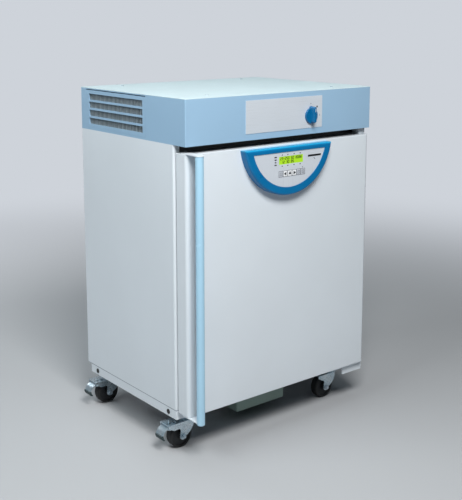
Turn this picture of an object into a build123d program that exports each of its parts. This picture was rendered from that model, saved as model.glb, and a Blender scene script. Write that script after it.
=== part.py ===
from build123d import *
import os

os.makedirs("parts", exist_ok=True)

# A climate chamber on castors. Millimetres, +X right, +Y back, +Z up.
# The origin is on the floor, under the middle of the cabinet.

# Overall sizes
cabinet_width = 760.0
cabinet_depth = 588.0
overall_height = 1094.0
castor_height = 110.0
plinth_height = 29.0
housing_height = 138.0
sheet = 1.5
running_clearance = 0.05
seat_clearance = 0.3

front_y = -cabinet_depth / 2
back_y = cabinet_depth / 2
side_x = cabinet_width / 2
body_base_z = castor_height + plinth_height
body_top_z = overall_height - housing_height

# Door
door_width = 752.0
door_depth = 52.0
door_edge_radius = 12.0
door_gap_above = 22.5
door_drop = 4.5
seal_gap = 6.0
door_top_z = body_top_z - door_gap_above
door_base_z = body_base_z - door_drop
door_height = door_top_z - door_base_z
door_back_y = front_y + door_depth
body_front_y = door_back_y + seal_gap

# Working space inside
chamber_width = 540.0
chamber_depth = 380.0
chamber_height = 530.0
chamber_corner_radius = 12.0
plenum_depth = 52.0
machine_share = 211.0 / 287.0
spare_height = body_top_z - body_base_z - chamber_height
chamber_base_z = body_base_z + machine_share * spare_height
chamber_middle_z = chamber_base_z + chamber_height / 2
chamber_top_z = chamber_base_z + chamber_height

# Collar, liner and insulation behind the door
panel_return = 20.0
collar_front_y = body_front_y + sheet
liner_front_y = collar_front_y + sheet
baffle_front_y = liner_front_y + chamber_depth
liner_back_y = baffle_front_y + plenum_depth
roof_clearance = 16.5
insulation_wall = 58.0
insulation_roof = body_top_z - chamber_top_z - sheet - roof_clearance


def save(piece, name):
    piece.label = name
    export_step(piece, "parts/" + name + ".step")


def block(x_low, x_high, y_low, y_high, z_low, z_high, mode=Mode.ADD):
    """A box between two corners, added to the part being built."""
    centre = ((x_low + x_high) / 2, (y_low + y_high) / 2, (z_low + z_high) / 2)
    with Locations(centre):
        Box(x_high - x_low, y_high - y_low, z_high - z_low, mode=mode)


# Plinth: a welded sheet ring with an inward flange and four castor gussets
plinth_wall = 2.5
plinth_back_y = 270.0
plinth_flange = 24.0
plinth_flange_thickness = 3.0
castor_x = 308.0
castor_front_y = -194.0
castor_back_y = 240.0
castor_plate_x = 90.0
castor_plate_y = 60.0
castor_bolt_x = 70.0
castor_bolt_y = 42.0
castor_bolt_hole = 4.25
jack_hole_radius = 6.5
jack_hole_z = castor_height + 14.0
jack_hole_inset = 42.0
castor_places = [
    (side * castor_x, y) for y in (castor_front_y, castor_back_y) for side in (-1, 1)
]
plinth_depth = plinth_back_y - body_front_y
plinth_middle_y = (plinth_back_y + body_front_y) / 2

with BuildPart() as plinth_frame:
    with BuildSketch(Plane.XY.offset(castor_height)):
        with Locations((0, plinth_middle_y)):
            Rectangle(cabinet_width, plinth_depth)
            Rectangle(
                cabinet_width - 2 * plinth_wall, plinth_depth - 2 * plinth_wall, mode=Mode.SUBTRACT
            )
    extrude(amount=plinth_height)
    with BuildSketch(Plane.XY.offset(castor_height)):
        with Locations((0, plinth_middle_y)):
            Rectangle(cabinet_width - plinth_wall, plinth_depth - plinth_wall)
            Rectangle(
                cabinet_width - 2 * (plinth_wall + plinth_flange),
                plinth_depth - 2 * (plinth_wall + plinth_flange),
                mode=Mode.SUBTRACT,
            )
        for x, y in castor_places:
            toward_side = side_x - plinth_wall / 2 if x > 0 else -side_x + plinth_wall / 2
            inner = x - castor_plate_x / 2 if x > 0 else x + castor_plate_x / 2
            low_y = body_front_y + plinth_wall / 2 if y < 0 else y - castor_plate_y / 2
            high_y = y + castor_plate_y / 2 if y < 0 else plinth_back_y - plinth_wall / 2
            with Locations(((toward_side + inner) / 2, (low_y + high_y) / 2)):
                Rectangle(abs(toward_side - inner), high_y - low_y)
    extrude(amount=plinth_flange_thickness)
    with BuildSketch(Plane.XY.offset(castor_height)):
        for x, y in castor_places:
            with Locations((x, y)):
                with GridLocations(castor_bolt_x, castor_bolt_y, 2, 2):
                    Circle(castor_bolt_hole)
    extrude(amount=plinth_flange_thickness, mode=Mode.SUBTRACT)
    with BuildSketch(Plane.YZ.offset(-side_x)):
        with Locations(
            (body_front_y + jack_hole_inset, jack_hole_z),
            (plinth_back_y - jack_hole_inset, jack_hole_z),
        ):
            Circle(jack_hole_radius)
    extrude(amount=cabinet_width, mode=Mode.SUBTRACT)
save(plinth_frame.part, "plinth_frame")

# Compressor tray: a folded sheet well that hangs through the plinth
tray_width = 205.0
tray_depth = 240.0
tray_front_y = front_y + 107.0
tray_base_z = 42.0
tray_lip = 12.0
tray_wall = 2.0
tray_back_y = tray_front_y + tray_depth
tray_middle_y = (tray_front_y + tray_back_y) / 2
tray_corner_radius = 6.0

with BuildPart() as compressor_tray:
    with BuildSketch(Plane.XY.offset(tray_base_z)):
        with Locations((0, tray_middle_y)):
            RectangleRounded(tray_width, tray_depth, tray_corner_radius)
    extrude(amount=body_base_z - tray_base_z)
    with BuildSketch(Plane.XY.offset(tray_base_z + tray_wall)):
        with Locations((0, tray_middle_y)):
            RectangleRounded(
                tray_width - 2 * tray_wall,
                tray_depth - 2 * tray_wall,
                tray_corner_radius - tray_wall,
            )
    extrude(amount=body_base_z - tray_base_z, mode=Mode.SUBTRACT)
    with BuildSketch(Plane.XY.offset(body_base_z - tray_wall)):
        with Locations((0, tray_middle_y)):
            Rectangle(tray_width + 2 * tray_lip, tray_depth + 2 * tray_lip)
            RectangleRounded(
                tray_width - 2 * tray_wall,
                tray_depth - 2 * tray_wall,
                tray_corner_radius - tray_wall,
                mode=Mode.SUBTRACT,
            )
    extrude(amount=tray_wall)
save(compressor_tray.part, "compressor_tray")

# Floor pan of the machine compartment, open over the compressor tray
panel_edge_radius = 9.0
panel_back_radius = 3.0
floor_pan_half_width = side_x - panel_edge_radius
floor_pan_back_y = back_y - 2 * sheet

with BuildPart() as floor_pan:
    block(
        -floor_pan_half_width,
        floor_pan_half_width,
        collar_front_y + sheet,
        floor_pan_back_y,
        body_base_z,
        body_base_z + sheet,
    )
    with BuildSketch(Plane.XY.offset(body_base_z)):
        with Locations((0, tray_middle_y)):
            Rectangle(tray_width - 2 * tray_wall, tray_depth - 2 * tray_wall)
    extrude(amount=sheet, mode=Mode.SUBTRACT)
save(floor_pan.part, "floor_pan")

# Side panels: folded sheet with a soft front edge and returns front and back

def side_panel(side):
    middle_x = side * (side_x - panel_return / 2)
    panel_depth = back_y - body_front_y
    middle_y = (back_y + body_front_y) / 2
    with BuildPart() as panel:
        with BuildSketch(Plane.XY.offset(body_base_z)) as outline:
            with Locations((middle_x, middle_y)):
                Rectangle(panel_return, panel_depth)
            outer = outline.vertices().group_by(Axis.X)[0 if side < 0 else -1]
            fillet(outer.sort_by(Axis.Y)[0], panel_edge_radius)
            outer = outline.vertices().group_by(Axis.X)[0 if side < 0 else -1]
            fillet(outer.sort_by(Axis.Y)[-1], panel_back_radius)
        extrude(amount=body_top_z - body_base_z)
        with BuildSketch(Plane.XY.offset(body_base_z)) as hollow:
            with Locations((middle_x - side * sheet, middle_y)):
                Rectangle(panel_return, panel_depth - 2 * sheet)
            outer = hollow.vertices().group_by(Axis.X)[0 if side < 0 else -1]
            fillet(outer.sort_by(Axis.Y)[0], panel_edge_radius - sheet)
            outer = hollow.vertices().group_by(Axis.X)[0 if side < 0 else -1]
            fillet(outer.sort_by(Axis.Y)[-1], panel_back_radius - sheet)
        extrude(amount=body_top_z - body_base_z, mode=Mode.SUBTRACT)
    return panel.part


save(side_panel(-1), "side_panel_left")
save(side_panel(1), "side_panel_right")

# Back panel with rows of air slots for the machine compartment
back_panel_y = back_y - 2 * sheet
slot_length = 62.0
slot_height = 6.0
slot_pitch_x = 84.0
slot_pitch_z = 18.0
slot_columns = 6
slot_rows = 5
slot_field_z = body_base_z + 70.0
nozzle_radius = 6.0
nozzle_z = body_base_z + 34.0
nozzle_places = [(-260.0, nozzle_z), (-220.0, nozzle_z)]
nozzle_nut_radius = 10.0

back_panel_half_width = side_x - panel_back_radius

with BuildPart() as back_panel:
    block(
        -back_panel_half_width,
        back_panel_half_width,
        back_panel_y,
        back_panel_y + sheet,
        body_base_z,
        body_top_z,
    )
    with BuildSketch(Plane.XZ.offset(-back_y)):
        with Locations((60.0, slot_field_z)):
            with GridLocations(slot_pitch_x, slot_pitch_z, slot_columns, slot_rows):
                Rectangle(slot_length, slot_height)
        with Locations(*nozzle_places):
            Circle(nozzle_radius)
    extrude(amount=2 * sheet, mode=Mode.SUBTRACT)
save(back_panel.part, "back_panel")

# Hose nozzles for the water supply and the drain
nozzle_length = 26.0
nozzle_nut = 5.0
nozzle_bore = 3.5

with BuildPart() as hose_nozzles:
    for x, z in nozzle_places:
        with BuildSketch(Plane.XZ.offset(-back_panel_y)) as nozzle_section:
            with Locations((x, z)):
                Circle(nozzle_radius)
                Circle(nozzle_bore, mode=Mode.SUBTRACT)
        extrude(amount=-(sheet + nozzle_length))
        extrude(nozzle_section.sketch, amount=10.0)
        with BuildSketch(Plane.XZ.offset(-(back_panel_y + sheet))):
            with Locations((x, z)):
                RegularPolygon(nozzle_nut_radius, 6)
                Circle(nozzle_bore, mode=Mode.SUBTRACT)
        extrude(amount=-nozzle_nut)
save(hose_nozzles.part, "hose_nozzles")

# Front collar: the painted frame that the door seals on
with BuildPart() as front_collar:
    with BuildSketch(Plane.XZ.offset(-collar_front_y)):
        with Locations((0, (body_base_z + body_top_z) / 2)):
            Rectangle(2 * floor_pan_half_width, body_top_z - body_base_z)
        with Locations((0, chamber_middle_z)):
            RectangleRounded(
                chamber_width, chamber_height, chamber_corner_radius, mode=Mode.SUBTRACT
            )
    extrude(amount=-sheet)
save(front_collar.part, "front_collar")

# Chamber liner: a stainless box with round corners and a flange behind the collar
liner_flange = 15.0
fan_z = chamber_middle_z
shaft_radius = 4.0
shaft_hole_radius = 7.0
motor_radius = 34.0
steam_pipe_radius = 8.0
steam_x = 215.0
steam_y = -40.0
heater_radius = 92.0
heater_tube = 4.2

with BuildPart() as chamber_liner:
    with BuildSketch(Plane.XZ.offset(-liner_front_y)):
        with Locations((0, chamber_middle_z)):
            RectangleRounded(
                chamber_width + 2 * sheet, chamber_height + 2 * sheet, chamber_corner_radius + sheet
            )
    extrude(amount=-(liner_back_y + sheet - liner_front_y))
    with BuildSketch(Plane.XZ.offset(-liner_front_y)):
        with Locations((0, chamber_middle_z)):
            Rectangle(
                chamber_width + 2 * liner_flange, chamber_height + 2 * liner_flange
            )
    extrude(amount=-sheet)
    with BuildSketch(Plane.XZ.offset(-liner_front_y)):
        with Locations((0, chamber_middle_z)):
            RectangleRounded(chamber_width, chamber_height, chamber_corner_radius)
    extrude(amount=-(liner_back_y - liner_front_y), mode=Mode.SUBTRACT)
    with BuildSketch(Plane.XZ.offset(-liner_back_y)):
        with Locations((0, fan_z)):
            Circle(shaft_hole_radius)
    extrude(amount=-sheet, mode=Mode.SUBTRACT)
    with BuildSketch(Plane.XY.offset(chamber_base_z - sheet)):
        with Locations((steam_x, steam_y)):
            Circle(steam_pipe_radius)
    extrude(amount=sheet, mode=Mode.SUBTRACT)
save(chamber_liner.part, "chamber_liner")

# Insulation: mineral wool round the liner
insulation_back_y = liner_back_y + sheet + insulation_wall
insulation_front_y = liner_front_y + sheet
liner_outer_x = chamber_width / 2 + sheet
liner_outer_base = chamber_base_z - sheet
liner_outer_top = chamber_top_z + sheet
insulation_base_z = liner_outer_base - insulation_roof

with BuildPart() as insulation_jacket:
    block(
        -liner_outer_x - insulation_wall,
        liner_outer_x + insulation_wall,
        insulation_front_y,
        insulation_back_y,
        insulation_base_z,
        liner_outer_top + insulation_roof,
    )
    with BuildSketch(Plane.XZ.offset(-insulation_front_y)):
        with Locations((0, chamber_middle_z)):
            RectangleRounded(
                chamber_width + 2 * sheet, chamber_height + 2 * sheet, chamber_corner_radius + sheet
            )
    extrude(amount=-(liner_back_y + sheet - insulation_front_y), mode=Mode.SUBTRACT)
    with BuildSketch(Plane.XZ.offset(-(liner_back_y + sheet))):
        with Locations((0, fan_z)):
            Circle(motor_radius)
    extrude(amount=-insulation_wall, mode=Mode.SUBTRACT)
    with BuildSketch(Plane.XY.offset(insulation_base_z)):
        with Locations((steam_x, steam_y)):
            Circle(steam_pipe_radius)
    extrude(amount=insulation_roof, mode=Mode.SUBTRACT)
save(insulation_jacket.part, "insulation_jacket")

# Air baffle in front of the fan, with an intake rose and side outlets
intake_radius = 66.0
intake_slot = 5.0
intake_slot_length = 34.0
intake_slots = 18
outlet_height = chamber_height - 230.0
outlet_width = 8.0
outlet_x = chamber_width / 2 - 22.0
baffle_drain_gap = 8.0

with BuildPart() as fan_baffle:
    with BuildSketch(Plane.XZ.offset(-baffle_front_y)):
        with Locations((0, chamber_middle_z)):
            RectangleRounded(chamber_width, chamber_height, chamber_corner_radius)
        with Locations((0, chamber_base_z)):
            Rectangle(chamber_width, 2 * baffle_drain_gap, mode=Mode.SUBTRACT)
        with Locations((0, chamber_middle_z)):
            with Locations((-outlet_x, 0), (outlet_x, 0)):
                Rectangle(outlet_width, outlet_height, mode=Mode.SUBTRACT)
        with Locations((0, fan_z)):
            with PolarLocations(intake_radius - intake_slot_length / 2, intake_slots):
                Rectangle(intake_slot_length, intake_slot, mode=Mode.SUBTRACT)
    extrude(amount=-sheet)
save(fan_baffle.part, "fan_baffle")

# Circulation fan: a radial wheel on the motor's shaft
fan_radius = 72.0
fan_hub_radius = 16.0
fan_disc = 2.0
fan_blade_depth = 24.0
fan_blade = 1.5
fan_blades = 12
fan_blade_lean = 28.0
fan_front_y = baffle_front_y + sheet + 6.0
motor_front_y = liner_back_y + sheet
motor_length = 78.0
shaft_depth = 18.0

with BuildPart() as fan_wheel:
    with BuildSketch(Plane.XZ.offset(-(fan_front_y + fan_blade_depth))):
        with Locations((0, fan_z)):
            Circle(fan_radius)
    extrude(amount=-fan_disc)
    with BuildSketch(Plane.XZ.offset(-(fan_front_y + fan_blade_depth + fan_disc))):
        with Locations((0, fan_z)):
            Circle(fan_hub_radius)
    extrude(amount=fan_blade_depth)
    with BuildSketch(Plane.XZ.offset(-(fan_front_y + fan_blade_depth))):
        with Locations((0, fan_z)):
            with PolarLocations((fan_radius + fan_hub_radius) / 2 + 6.0, fan_blades):
                Rectangle(
                    fan_radius - fan_hub_radius - 16.0, fan_blade, rotation=fan_blade_lean
                )
    extrude(amount=fan_blade_depth)
    with BuildSketch(Plane.XZ.offset(-(fan_front_y + fan_blade_depth))):
        with Locations((0, fan_z)):
            Circle(shaft_radius)
    extrude(amount=-(motor_front_y + shaft_depth - fan_front_y - fan_blade_depth))
save(fan_wheel.part, "fan_wheel")

with BuildPart() as fan_motor:
    with BuildSketch(Plane.XZ.offset(-motor_front_y)):
        with Locations((0, fan_z)):
            Circle(motor_radius)
    extrude(amount=-motor_length)
    fillet(fan_motor.faces().sort_by(Axis.Y)[-1].edges(), 6.0)
    with BuildSketch(Plane.XZ.offset(-motor_front_y)):
        with Locations((0, fan_z)):
            Circle(shaft_radius + running_clearance)
    extrude(amount=-(shaft_depth + 2.0), mode=Mode.SUBTRACT)
save(fan_motor.part, "fan_motor")

# Ring heater round the fan, on two legs from the back wall
heater_y = fan_front_y + 14.0

with BuildPart() as heater_ring:
    with Locations(Location((0, heater_y, fan_z), (90, 0, 0))):
        Torus(heater_radius, heater_tube)
    with BuildSketch(Plane.XZ.offset(-heater_y)):
        with Locations((-heater_radius, fan_z), (heater_radius, fan_z)):
            Circle(heater_tube)
    extrude(amount=-(liner_back_y - heater_y))
save(heater_ring.part, "heater_ring")

# Evaporator: finned tubes in the plenum, under the fan
coil_length = 420.0
coil_rows = 3
coil_pitch = 24.0
coil_tube = 4.0
coil_fin = 0.8
coil_fins = 22
coil_base_z = chamber_base_z + 26.0
coil_middle_y = (baffle_front_y + sheet + liner_back_y) / 2
coil_end_plate = 2.0
coil_fin_depth = 30.0
coil_height = coil_rows * coil_pitch

with BuildPart() as evaporator_coil:
    for row in range(coil_rows):
        row_z = coil_base_z + coil_pitch * (row + 0.5)
        with Locations((0, coil_middle_y, row_z)):
            Cylinder(coil_tube, coil_length, rotation=(0, 90, 0))
    with Locations((0, coil_middle_y, coil_base_z + coil_height / 2)):
        with GridLocations(coil_length / (coil_fins + 1), 1.0, coil_fins, 1):
            Box(coil_fin, coil_fin_depth, coil_height)
    for end in (-1, 1):
        end_x = end * coil_length / 2
        block(
            end_x - coil_end_plate / 2,
            end_x + coil_end_plate / 2,
            coil_middle_y - coil_fin_depth / 2,
            liner_back_y,
            coil_base_z,
            coil_base_z + coil_height,
        )
save(evaporator_coil.part, "evaporator_coil")

# Shelf racks: two posts on each side wall, with a ledge for each level
rack_levels = 6
rack_end = 30.0
rack_height = chamber_height - 2 * rack_end
rack_pitch = (rack_height - 14.0) / rack_levels
rack_base_z = chamber_base_z + rack_end + 34.0
rack_post = 14.0
rack_post_depth = 3.0
rack_ledge = 11.0
rack_ledge_thickness = 1.5
rack_front_y = liner_front_y + 26.0
rack_back_y = baffle_front_y - 20.0

with BuildPart() as shelf_racks:
    for side in (-1, 1):
        wall_x = side * chamber_width / 2
        inner_x = wall_x - side * rack_post_depth
        ledge_x = wall_x - side * rack_ledge
        for post_y in (rack_front_y + rack_post, rack_back_y - rack_post):
            block(
                min(wall_x, inner_x),
                max(wall_x, inner_x),
                post_y - rack_post / 2,
                post_y + rack_post / 2,
                chamber_base_z + rack_end,
                chamber_base_z + rack_end + rack_height,
            )
        for level in range(rack_levels):
            ledge_z = rack_base_z + level * rack_pitch
            block(
                min(inner_x, ledge_x),
                max(inner_x, ledge_x),
                rack_front_y,
                rack_back_y,
                ledge_z - rack_ledge_thickness,
                ledge_z,
            )
save(shelf_racks.part, "shelf_racks")

# Two lift-out shelves of welded wire, resting on the ledges
shelf_side_clearance = 1.0
shelf_frame_wire = 3.0
shelf_rail_wire = 2.5
shelf_end = 10.0
shelf_wire = 1.5
shelf_wires = 17
shelf_front_y = rack_front_y
shelf_back_y = rack_back_y
shelf_half_width = chamber_width / 2 - rack_post_depth - shelf_side_clearance


def wire_shelf(level):
    base_z = rack_base_z + level * rack_pitch
    frame_z = base_z + shelf_frame_wire
    long_side = shelf_back_y - shelf_front_y
    middle_y = (shelf_back_y + shelf_front_y) / 2
    rail_x = shelf_half_width - shelf_frame_wire
    with BuildPart() as shelf:
        with Locations((-rail_x, middle_y, frame_z), (rail_x, middle_y, frame_z)):
            Cylinder(shelf_frame_wire, long_side, rotation=(90, 0, 0))
        for rail_y in (shelf_front_y + shelf_end, middle_y, shelf_back_y - shelf_end):
            with Locations((0, rail_y, frame_z)):
                Cylinder(shelf_rail_wire, 2 * rail_x, rotation=(0, 90, 0))
        with Locations((0, middle_y, frame_z + shelf_rail_wire - shelf_wire + 0.4)):
            with GridLocations(2 * rail_x / (shelf_wires + 1), 1.0, shelf_wires, 1):
                Cylinder(shelf_wire, long_side - 8.0, rotation=(90, 0, 0))
    return shelf.part


save(wire_shelf(1), "shelf_lower")
save(wire_shelf(4), "shelf_upper")

# Steam generator: a small boiler on the floor pan with its pipe up to the chamber
boiler_radius = 46.0
boiler_headroom = 32.0
boiler_base_z = body_base_z + sheet
boiler_top_z = insulation_base_z - boiler_headroom
boiler_height = boiler_top_z - boiler_base_z
boiler_edge_radius = 10.0
pipe_bore_depth = 40.0

with BuildPart() as steam_generator:
    with Locations((steam_x, steam_y, boiler_base_z + boiler_height / 2)):
        Cylinder(boiler_radius, boiler_height)
    fillet(steam_generator.faces().sort_by(Axis.Z)[-1].edges(), boiler_edge_radius)
    with BuildSketch(Plane.XY.offset(boiler_top_z)):
        with Locations((steam_x, steam_y)):
            Circle(steam_pipe_radius)
    extrude(amount=chamber_base_z - boiler_top_z)
    with BuildSketch(Plane.XY.offset(chamber_base_z - pipe_bore_depth)):
        with Locations((steam_x, steam_y)):
            Circle(steam_pipe_radius - sheet)
    extrude(amount=pipe_bore_depth, mode=Mode.SUBTRACT)
save(steam_generator.part, "steam_generator")

# Compressor: a welded steel pot on rubber feet in the tray
pot_radius = 74.0
pot_height = 150.0
pot_foot_height = 10.0
pot_foot_radius = 9.0
pot_foot_x = 66.0
pot_foot_y = 84.0
pot_plate_radius = 8.0
pot_dome_radius = 44.0
pot_plate = 3.0
pot_base_z = tray_base_z + tray_wall + pot_foot_height

with BuildPart() as compressor:
    with Locations((0, tray_middle_y, pot_base_z - pot_foot_height / 2)):
        with GridLocations(2 * pot_foot_x, 2 * pot_foot_y, 2, 2):
            Cylinder(pot_foot_radius, pot_foot_height)
    with BuildSketch(Plane.XY.offset(pot_base_z)):
        with Locations((0, tray_middle_y)):
            RectangleRounded(
                2 * (pot_foot_x + pot_foot_radius),
                2 * (pot_foot_y + pot_foot_radius),
                pot_plate_radius,
            )
    extrude(amount=pot_plate)
    with Locations((0, tray_middle_y, pot_base_z + pot_plate + pot_height / 2)):
        Cylinder(pot_radius, pot_height)
    fillet(compressor.faces().sort_by(Axis.Z)[-1].edges(), pot_dome_radius)
save(compressor.part, "compressor")

# Condenser: a finned block on the floor pan, behind the compressor
condenser_width = 230.0
condenser_depth = 44.0
condenser_headroom = 38.0
condenser_base_z = body_base_z + sheet
condenser_height = insulation_base_z - condenser_headroom - condenser_base_z
condenser_x = 60.0
condenser_y = 210.0
condenser_fins = 20
condenser_fin = 1.0
condenser_frame = 2.0
condenser_tube = 4.0
condenser_rows = 3
condenser_fin_inset = 4.0
condenser_fin_end = 8.0
condenser_rail_inset = 10.0

with BuildPart() as condenser:
    condenser_middle_z = condenser_base_z + condenser_height / 2
    for end in (-1, 1):
        with Locations((condenser_x + end * condenser_width / 2, condenser_y, condenser_middle_z)):
            Box(condenser_frame, condenser_depth, condenser_height)
    with Locations((condenser_x, condenser_y, condenser_middle_z)):
        with GridLocations(condenser_width / (condenser_fins + 1), 1.0, condenser_fins, 1):
            Box(
                condenser_fin,
                condenser_depth - 2 * condenser_fin_inset,
                condenser_height - 2 * condenser_fin_end,
            )
        with GridLocations(1.0, 1.0, 1, 1):
            Box(condenser_width, condenser_depth - 2 * condenser_rail_inset, condenser_frame)
    for row in range(condenser_rows):
        row_z = condenser_base_z + condenser_height * (row + 0.5) / condenser_rows
        with Locations((condenser_x, condenser_y, row_z)):
            Cylinder(condenser_tube, condenser_width, rotation=(0, 90, 0))
save(condenser.part, "condenser")

# Equipment deck: the sheet floor of the top housing, over the body and the door
deck_half_width = side_x - sheet
deck_front_y = front_y + sheet
deck_back_y = back_y - sheet

with BuildPart() as equipment_deck:
    block(
        -deck_half_width, deck_half_width, deck_front_y, deck_back_y, body_top_z, body_top_z + sheet
    )
save(equipment_deck.part, "equipment_deck")

# Top housing: a painted sheet ring with a large window on each side
top_plate_thickness = 2.0
housing_top_z = overall_height - top_plate_thickness
housing_edge_radius = 2.0
housing_flange = 16.0
grille_front_y = front_y + 204.0
grille_back_y = front_y + 553.0
grille_top_z = overall_height - 8.0
grille_base_z = overall_height - 131.0
grille_slot = 3.0
window_frame = 6.0
knob_x = 108.0
knob_z = overall_height - 80.0
spindle_radius = 3.0
fascia_width = 315.0
fascia_height = 100.5
fascia_thickness = 1.2
fascia_top_z = overall_height - 17.8
fascia_middle_z = fascia_top_z - fascia_height / 2
inlet_x = 262.0
inlet_z = overall_height - 66.0
inlet_width = 48.0
inlet_height = 27.0

with BuildPart() as top_housing:
    with BuildSketch(Plane.XY.offset(body_top_z)) as ring:
        Rectangle(cabinet_width, cabinet_depth)
        fillet(ring.vertices(), housing_edge_radius)
        Rectangle(cabinet_width - 2 * sheet, cabinet_depth - 2 * sheet, mode=Mode.SUBTRACT)
    extrude(amount=housing_top_z - body_top_z)
    with BuildSketch(Plane.XY.offset(housing_top_z - sheet)):
        Rectangle(cabinet_width - sheet, cabinet_depth - sheet)
        Rectangle(
            cabinet_width - 2 * housing_flange, cabinet_depth - 2 * housing_flange, mode=Mode.SUBTRACT
        )
    extrude(amount=sheet)
    for side in (-1, 1):
        wall_x = side * side_x
        inner_x = wall_x - side * sheet
        block(
            min(wall_x, inner_x),
            max(wall_x, inner_x),
            grille_front_y,
            grille_back_y,
            grille_base_z,
            grille_top_z + grille_slot,
            mode=Mode.SUBTRACT,
        )
    with BuildSketch(Plane.XZ.offset(-front_y)):
        with Locations((knob_x, knob_z)):
            Circle(spindle_radius + 1.0)
    extrude(amount=-sheet, mode=Mode.SUBTRACT)
    with BuildSketch(Plane.XZ.offset(-back_y)):
        with Locations((inlet_x, inlet_z)):
            Rectangle(inlet_width, inlet_height)
    extrude(amount=sheet, mode=Mode.SUBTRACT)
save(top_housing.part, "top_housing")

# Top plate: a flat lid on the housing, held by four screws
lid_screw_x = 257.0
lid_screw_y = 234.0
lid_screw_hole = 2.6

with BuildPart() as top_plate:
    with BuildSketch(Plane.XY.offset(housing_top_z)) as lid:
        Rectangle(cabinet_width, cabinet_depth)
        fillet(lid.vertices(), housing_edge_radius)
    extrude(amount=top_plate_thickness)
    fillet(top_plate.faces().sort_by(Axis.Z)[-1].edges(), 0.8)
    with BuildSketch(Plane.XY.offset(housing_top_z)):
        with GridLocations(2 * lid_screw_x, 2 * lid_screw_y, 2, 2):
            Circle(lid_screw_hole)
    extrude(amount=top_plate_thickness, mode=Mode.SUBTRACT)
save(top_plate.part, "top_plate")

# Air grilles: a pressed frame with four long windows, and a ribbed screen behind
window_front_y = front_y + 220.0
window_back_y = front_y + 537.0
window_top_z = overall_height - 19.5
window_height = 19.8
window_bar = 6.6
window_rows = 4
grille_thickness = 2.0
screen_thickness = 2.0
screen_margin = 5.0
screen_ribs = 39
screen_rib_width = 2.6
window_middle_y = (window_front_y + window_back_y) / 2
window_length = window_back_y - window_front_y
window_pitch = window_height + window_bar
window_field = window_rows * window_height + (window_rows - 1) * window_bar
window_middle_z = window_top_z - window_field / 2


def grille(side):
    plane = Plane.YZ.offset(side * side_x)
    with BuildPart() as frame:
        with BuildSketch(plane):
            with Locations(
                ((grille_front_y + grille_back_y) / 2, (grille_top_z + grille_base_z) / 2)
            ):
                Rectangle(
                    grille_back_y - grille_front_y - 2 * seat_clearance,
                    grille_top_z - grille_base_z - 2 * seat_clearance,
                )
            with Locations((window_middle_y, window_middle_z)):
                with GridLocations(1.0, window_pitch, 1, window_rows):
                    Rectangle(window_length, window_height, mode=Mode.SUBTRACT)
        extrude(amount=-side * sheet)
        with BuildSketch(Plane.YZ.offset(side * (side_x - sheet))):
            with Locations(
                ((grille_front_y + grille_back_y) / 2, (grille_top_z + grille_base_z) / 2)
            ):
                Rectangle(
                    grille_back_y - grille_front_y + 2 * window_frame,
                    grille_top_z - grille_base_z,
                )
            with Locations((window_middle_y, window_middle_z)):
                with GridLocations(1.0, window_pitch, 1, window_rows):
                    Rectangle(window_length, window_height, mode=Mode.SUBTRACT)
        extrude(amount=-side * grille_thickness)
    return frame.part


save(grille(-1), "grille_left")
save(grille(1), "grille_right")

with BuildPart() as grille_screens:
    for side in (-1, 1):
        with BuildSketch(Plane.YZ.offset(side * (side_x - sheet - grille_thickness))):
            with Locations((window_middle_y, window_middle_z)):
                Rectangle(window_length + 2 * screen_margin, window_field + 2 * screen_margin)
                with GridLocations(window_length / screen_ribs, 1.0, screen_ribs, 1):
                    Rectangle(
                        window_length / screen_ribs - screen_rib_width,
                        window_field,
                        mode=Mode.SUBTRACT,
                    )
        extrude(amount=-side * screen_thickness)
save(grille_screens.part, "grille_screens")

# Fascia: the bare metal plate on the housing's front, round the selector
with BuildPart() as fascia_panel:
    with BuildSketch(Plane.XZ.offset(-front_y)):
        with Locations((0, fascia_middle_z)):
            RectangleRounded(fascia_width, fascia_height, 1.5)
        with Locations((knob_x, knob_z)):
            Circle(spindle_radius + 1.0, mode=Mode.SUBTRACT)
    extrude(amount=fascia_thickness)
save(fascia_panel.part, "fascia_panel")

# Selector: a skirted pointer knob on its spindle
knob_gap = 0.8
skirt_radius = 25.0
skirt_height = 6.0
grip_width = 15.0
grip_top = 31.0
grip_bottom = 23.0
grip_height = 16.0
switch_depth = 34.0
switch_size = 40.0
switch_front_y = front_y + sheet + 0.5
knob_back_y = front_y - fascia_thickness - knob_gap

with BuildPart() as selector_knob:
    with BuildSketch(Plane.XZ.offset(-knob_back_y)):
        with Locations((knob_x, knob_z)):
            Circle(skirt_radius)
    extrude(amount=skirt_height, taper=9)
    with BuildSketch(Plane.XZ.offset(-knob_back_y)) as grip:
        with BuildLine():
            Line(
                (knob_x - grip_width / 2, knob_z + grip_top - grip_width / 2),
                (knob_x - grip_width / 2, knob_z - grip_bottom + grip_width / 2),
            )
            ThreePointArc(
                (knob_x - grip_width / 2, knob_z - grip_bottom + grip_width / 2),
                (knob_x, knob_z - grip_bottom),
                (knob_x + grip_width / 2, knob_z - grip_bottom + grip_width / 2),
            )
            Line(
                (knob_x + grip_width / 2, knob_z - grip_bottom + grip_width / 2),
                (knob_x + grip_width / 2, knob_z + grip_top - grip_width / 2),
            )
            ThreePointArc(
                (knob_x + grip_width / 2, knob_z + grip_top - grip_width / 2),
                (knob_x, knob_z + grip_top),
                (knob_x - grip_width / 2, knob_z + grip_top - grip_width / 2),
            )
        make_face()
    extrude(amount=skirt_height + grip_height, taper=6)
    fillet(selector_knob.faces().sort_by(Axis.Y)[0].edges(), 2.0)
    with BuildSketch(Plane.XZ.offset(-knob_back_y)):
        with Locations((knob_x, knob_z)):
            Circle(spindle_radius)
    extrude(amount=-(switch_front_y + 14.0 - knob_back_y))
save(selector_knob.part, "selector_knob")

# Control boards, transformer and rotary switch on the equipment deck
board_thickness = 2.0
board_standoff = 8.0
standoff_radius = 3.0

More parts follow.
